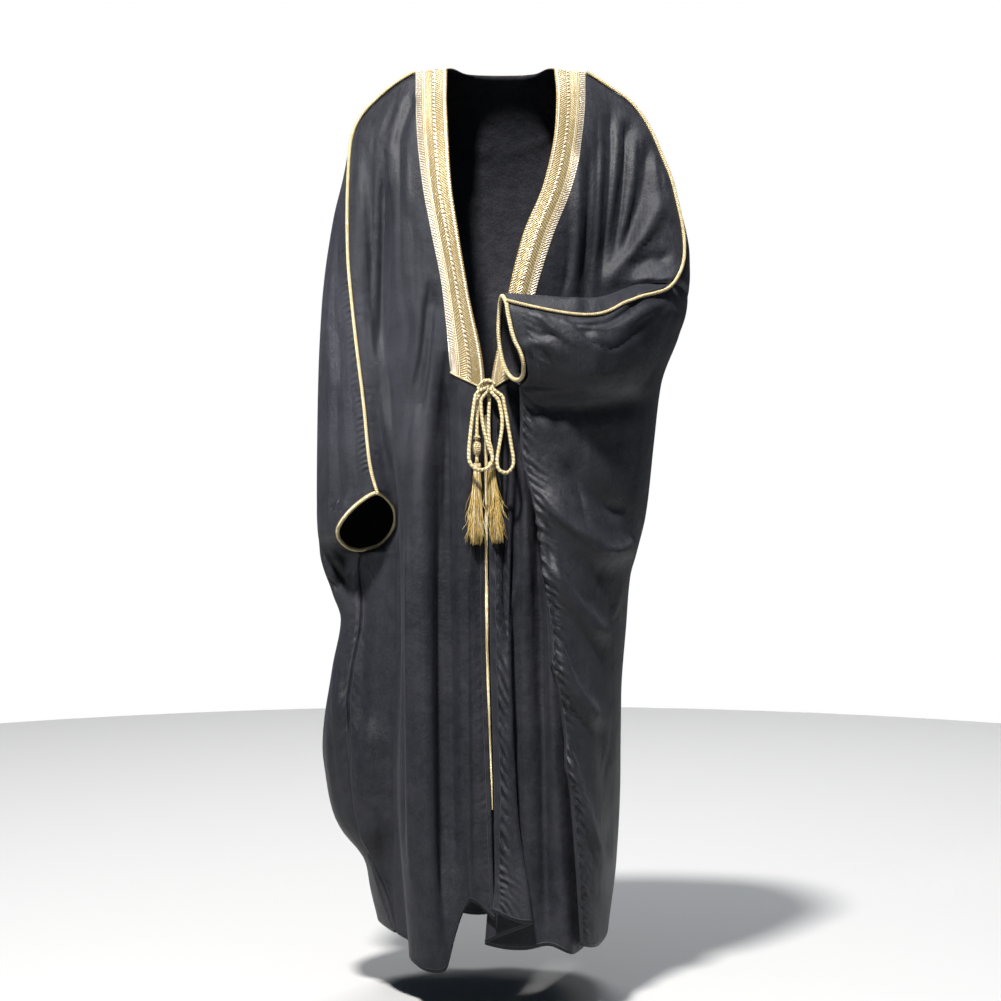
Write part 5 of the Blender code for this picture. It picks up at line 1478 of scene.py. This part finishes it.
def thread_material():
    """Laid metallic thread: fine threads across each strand, with painted shade in the grooves."""
    s = Shade("gold_laid")
    round_it, along = s.lay()
    groove = s.between(s.math("ABSOLUTE", s.wave(round_it, 2.0)), 0.1, 0.75, 1.0, 0.0)
    threads = s.wave(s.plus(round_it, s.times(along, GOLD_LINES)), 1.0)
    patch = s.noise(140.0, 2.0, 0.6)
    colour = s.mix(s.between(patch, 0.3, 0.7, 0.0, 1.0), GOLD_MIDDLE, GOLD_BRIGHT)
    # Painted shade in the lines between the fine threads, and deeper in the grooves between strands
    colour = s.mix(s.between(threads, -1.0, 0.2, 0.45, 0.0), colour, GOLD_SHADE)
    colour = s.mix(s.times(groove, 0.9), colour, GOLD_SHADE)
    return s.finish(colour, 0.42, s.bump(threads, 0.00025, 0.7), Metallic=0.25, Specular_IOR_Level=0.5)


def silk_material():
    """Loose threads of a tassel, each with its own shade of gold."""
    s = Shade("gold_threads")
    round_it, along = s.lay()
    chance = s.node("ShaderNodeTexWhiteNoise", {"W": s.math("FLOOR", round_it)}, noise_dimensions="1D")
    colour = s.steps(chance.outputs["Value"], TASSEL_SHADES)
    patch = s.noise(260.0, 2.0, 0.6, (1, 1, 0.35))
    colour = s.mix(s.between(patch, 0.35, 0.65, 0.35, 0.0), colour, TASSEL_SHADES[0][1])
    twist = s.wave(s.plus(along, s.times(round_it, 0.9)), 1.6)
    return s.finish(colour, 0.38, s.bump(twist, 0.0001, 0.5), Metallic=0.3, Specular_IOR_Level=0.5)


def band_material():
    """Gold embroidery: rows of couched thread, each with its own stitch and colour."""
    s = Shade("band_embroidery")
    across, down = s.lay()
    zone = s.steps(across, [(start, colour) for start, colour, _, _ in BAND_COLOURS])
    # Slanted stitches in every zone; their slope and how strongly they show differ by zone
    slope = s.steps(across, [(start, (slant * 0.5 + 0.5,) * 3) for start, _, slant, _ in BAND_COLOURS])
    slope = s.times(s.minus(slope, 0.5), 2.0)
    show = s.steps(across, [(start, (amount,) * 3) for start, _, _, amount in BAND_COLOURS])
    waver = s.times(s.noise(70.0, 2.0, 0.6), 2.4)
    slanted = s.plus(s.plus(down, s.times(slope, across, BAND_WIDTH)), waver)
    stitch = s.wave(slanted, STITCH_PITCH)
    fleck = s.noise(420.0, 2.0, 0.65)
    colour = s.mix(s.times(s.between(stitch, -1.0, 0.3, 1.0, 0.0), show), zone, BAND_SHADOW)
    # The tooth row in the middle: dark slanted ticks between light links
    tick = s.wave(s.plus(down, s.times(across, BAND_WIDTH * 0.55)), TOOTH_PITCH)
    near = s.between(s.math("ABSOLUTE", s.minus(across, TOOTH_PLACE)), 0.034, 0.052, 1.0, 0.0)
    colour = s.mix(s.times(s.between(tick, 0.0, 0.5, 0.0, 1.0), near), colour, BAND_TICK)
    colour = s.mix(s.between(fleck, 0.58, 0.70, 0.0, 0.5), colour, BAND_GLINT)
    colour = s.mix(s.between(fleck, 0.30, 0.44, 0.6, 0.0), colour, BAND_SHADOW)
    # The outer strip is worked in small knots with gaps of shadow between them
    knots = s.between(s.noise(300.0, 1.0, 0.5), 0.36, 0.50, 0.85, 0.0)
    outer = s.times(s.between(across, 0.783, 0.79, 0.0, 1.0), s.between(across, 0.94, 0.947, 1.0, 0.0))
    colour = s.mix(s.times(knots, outer), colour, BAND_GAP)
    # Thin shadows between the rows of thread
    for middle, width in BAND_GROOVES:
        colour = s.mix(s.times(s.line(across, middle, width), 0.85), colour, BAND_SHADOW)
    normal = s.bump(s.times(stitch, s.plus(show, 0.3)), 0.0004, 0.8)
    normal = s.bump(fleck, 0.0005, 0.5, normal)
    rough = s.between(fleck, 0.3, 0.7, 0.5, 0.3)
    return s.finish(colour, rough, normal, Metallic=0.35, Specular_IOR_Level=0.6)


def aimed(name, data, spot, aim):
    """A camera or lamp at a place, looking at another."""
    obj = bpy.data.objects.new(name, data)
    obj.location = spot
    obj.rotation_euler = (Vector(aim) - Vector(spot)).to_track_quat("-Z", "Y").to_euler()
    bpy.context.collection.objects.link(obj)
    return obj


def set_camera():
    """The camera at the photograph's eye level and distance, aimed at the middle of the cloak."""
    camera = bpy.data.cameras.new("camera")
    camera.sensor_width = SENSOR_WIDTH
    aim = Vector((0.0, 0.0, CAMERA_AIM))
    camera.lens = camera.sensor_width * (aim - Vector(CAMERA_PLACE)).length / FRAME_HEIGHT
    camera.clip_end = 60.0
    bpy.context.scene.camera = aimed("camera", camera, CAMERA_PLACE, aim)


def set_light(name, spot, aim, size, power, colour, spread):
    """A round lamp, its light narrowed to spread degrees."""
    lamp = bpy.data.lights.new(name, "AREA")
    lamp.shape = "DISK"
    lamp.size = size
    lamp.energy = power
    lamp.color = colour
    lamp.spread = math.radians(spread)
    aimed(name, lamp, spot, aim)


def set_stage():
    """Studio light, and a round pale floor."""
    world = bpy.data.worlds.new("studio")
    world.use_nodes = True
    tree = world.node_tree
    cast = tree.nodes["Background"]
    cast.inputs["Color"].default_value = (*SKY_COLOUR, 1)
    cast.inputs["Strength"].default_value = SKY_STRENGTH
    seen = tree.nodes.new("ShaderNodeBackground")
    seen.inputs["Color"].default_value = (1.0, 1.0, 1.0, 1)
    seen.inputs["Strength"].default_value = SKY_SEEN
    mixed = tree.nodes.new("ShaderNodeMixShader")
    path = tree.nodes.new("ShaderNodeLightPath")
    tree.links.new(path.outputs["Is Camera Ray"], mixed.inputs[0])
    tree.links.new(cast.outputs[0], mixed.inputs[1])
    tree.links.new(seen.outputs[0], mixed.inputs[2])
    tree.links.new(mixed.outputs[0], tree.nodes["World Output"].inputs[0])
    bpy.context.scene.world = world
    bpy.context.scene.view_settings.view_transform = "Standard"
    for light in LIGHTS:
        set_light(*light)
    turns = np.linspace(0, 2 * math.pi, 97)[:-1]
    corners = [(FLOOR_REACH * math.cos(a), FLOOR_BACK + FLOOR_REACH * math.sin(a), FLOOR) for a in turns]
    floor = new_mesh("floor", corners, [tuple(range(len(corners)))])
    floor.data.materials.append(Shade("floor_paper").finish((*FLOOR_COLOUR, 1), 0.9))


def main():
    set_camera()
    gold = thread_material()
    silk = silk_material()
    crepe = {name: crepe_material(name, SHINE[name], seams) for name, seams in SEAMS.items()}
    embroidery = band_material()

    tie = build_tie_cords(gold)
    build_waist_knot(gold)
    tail_knots = build_tail_knots(gold)
    heads = {name: build_tassel(name, *rest, silk, gold) for name, *rest in TASSELS}

    points, grids, outward = shaped_cloth()
    panels = build_panels(points, grids, outward, crepe)
    cloth = []
    for obj in panels.values():
        corners = [vertex.co / MM for vertex in obj.data.vertices]
        cloth.append(BVHTree.FromPolygons(corners, [tuple(face.vertices) for face in obj.data.polygons]))
    build_band_pieces(points, outward, grids, embroidery, gold)
    build_overarm_cords(points, outward, grids, cloth, gold)
    build_cuff_cords(points, grids, cloth, gold)
    build_piping(points, grids, cloth, gold)
    set_stage()


main()
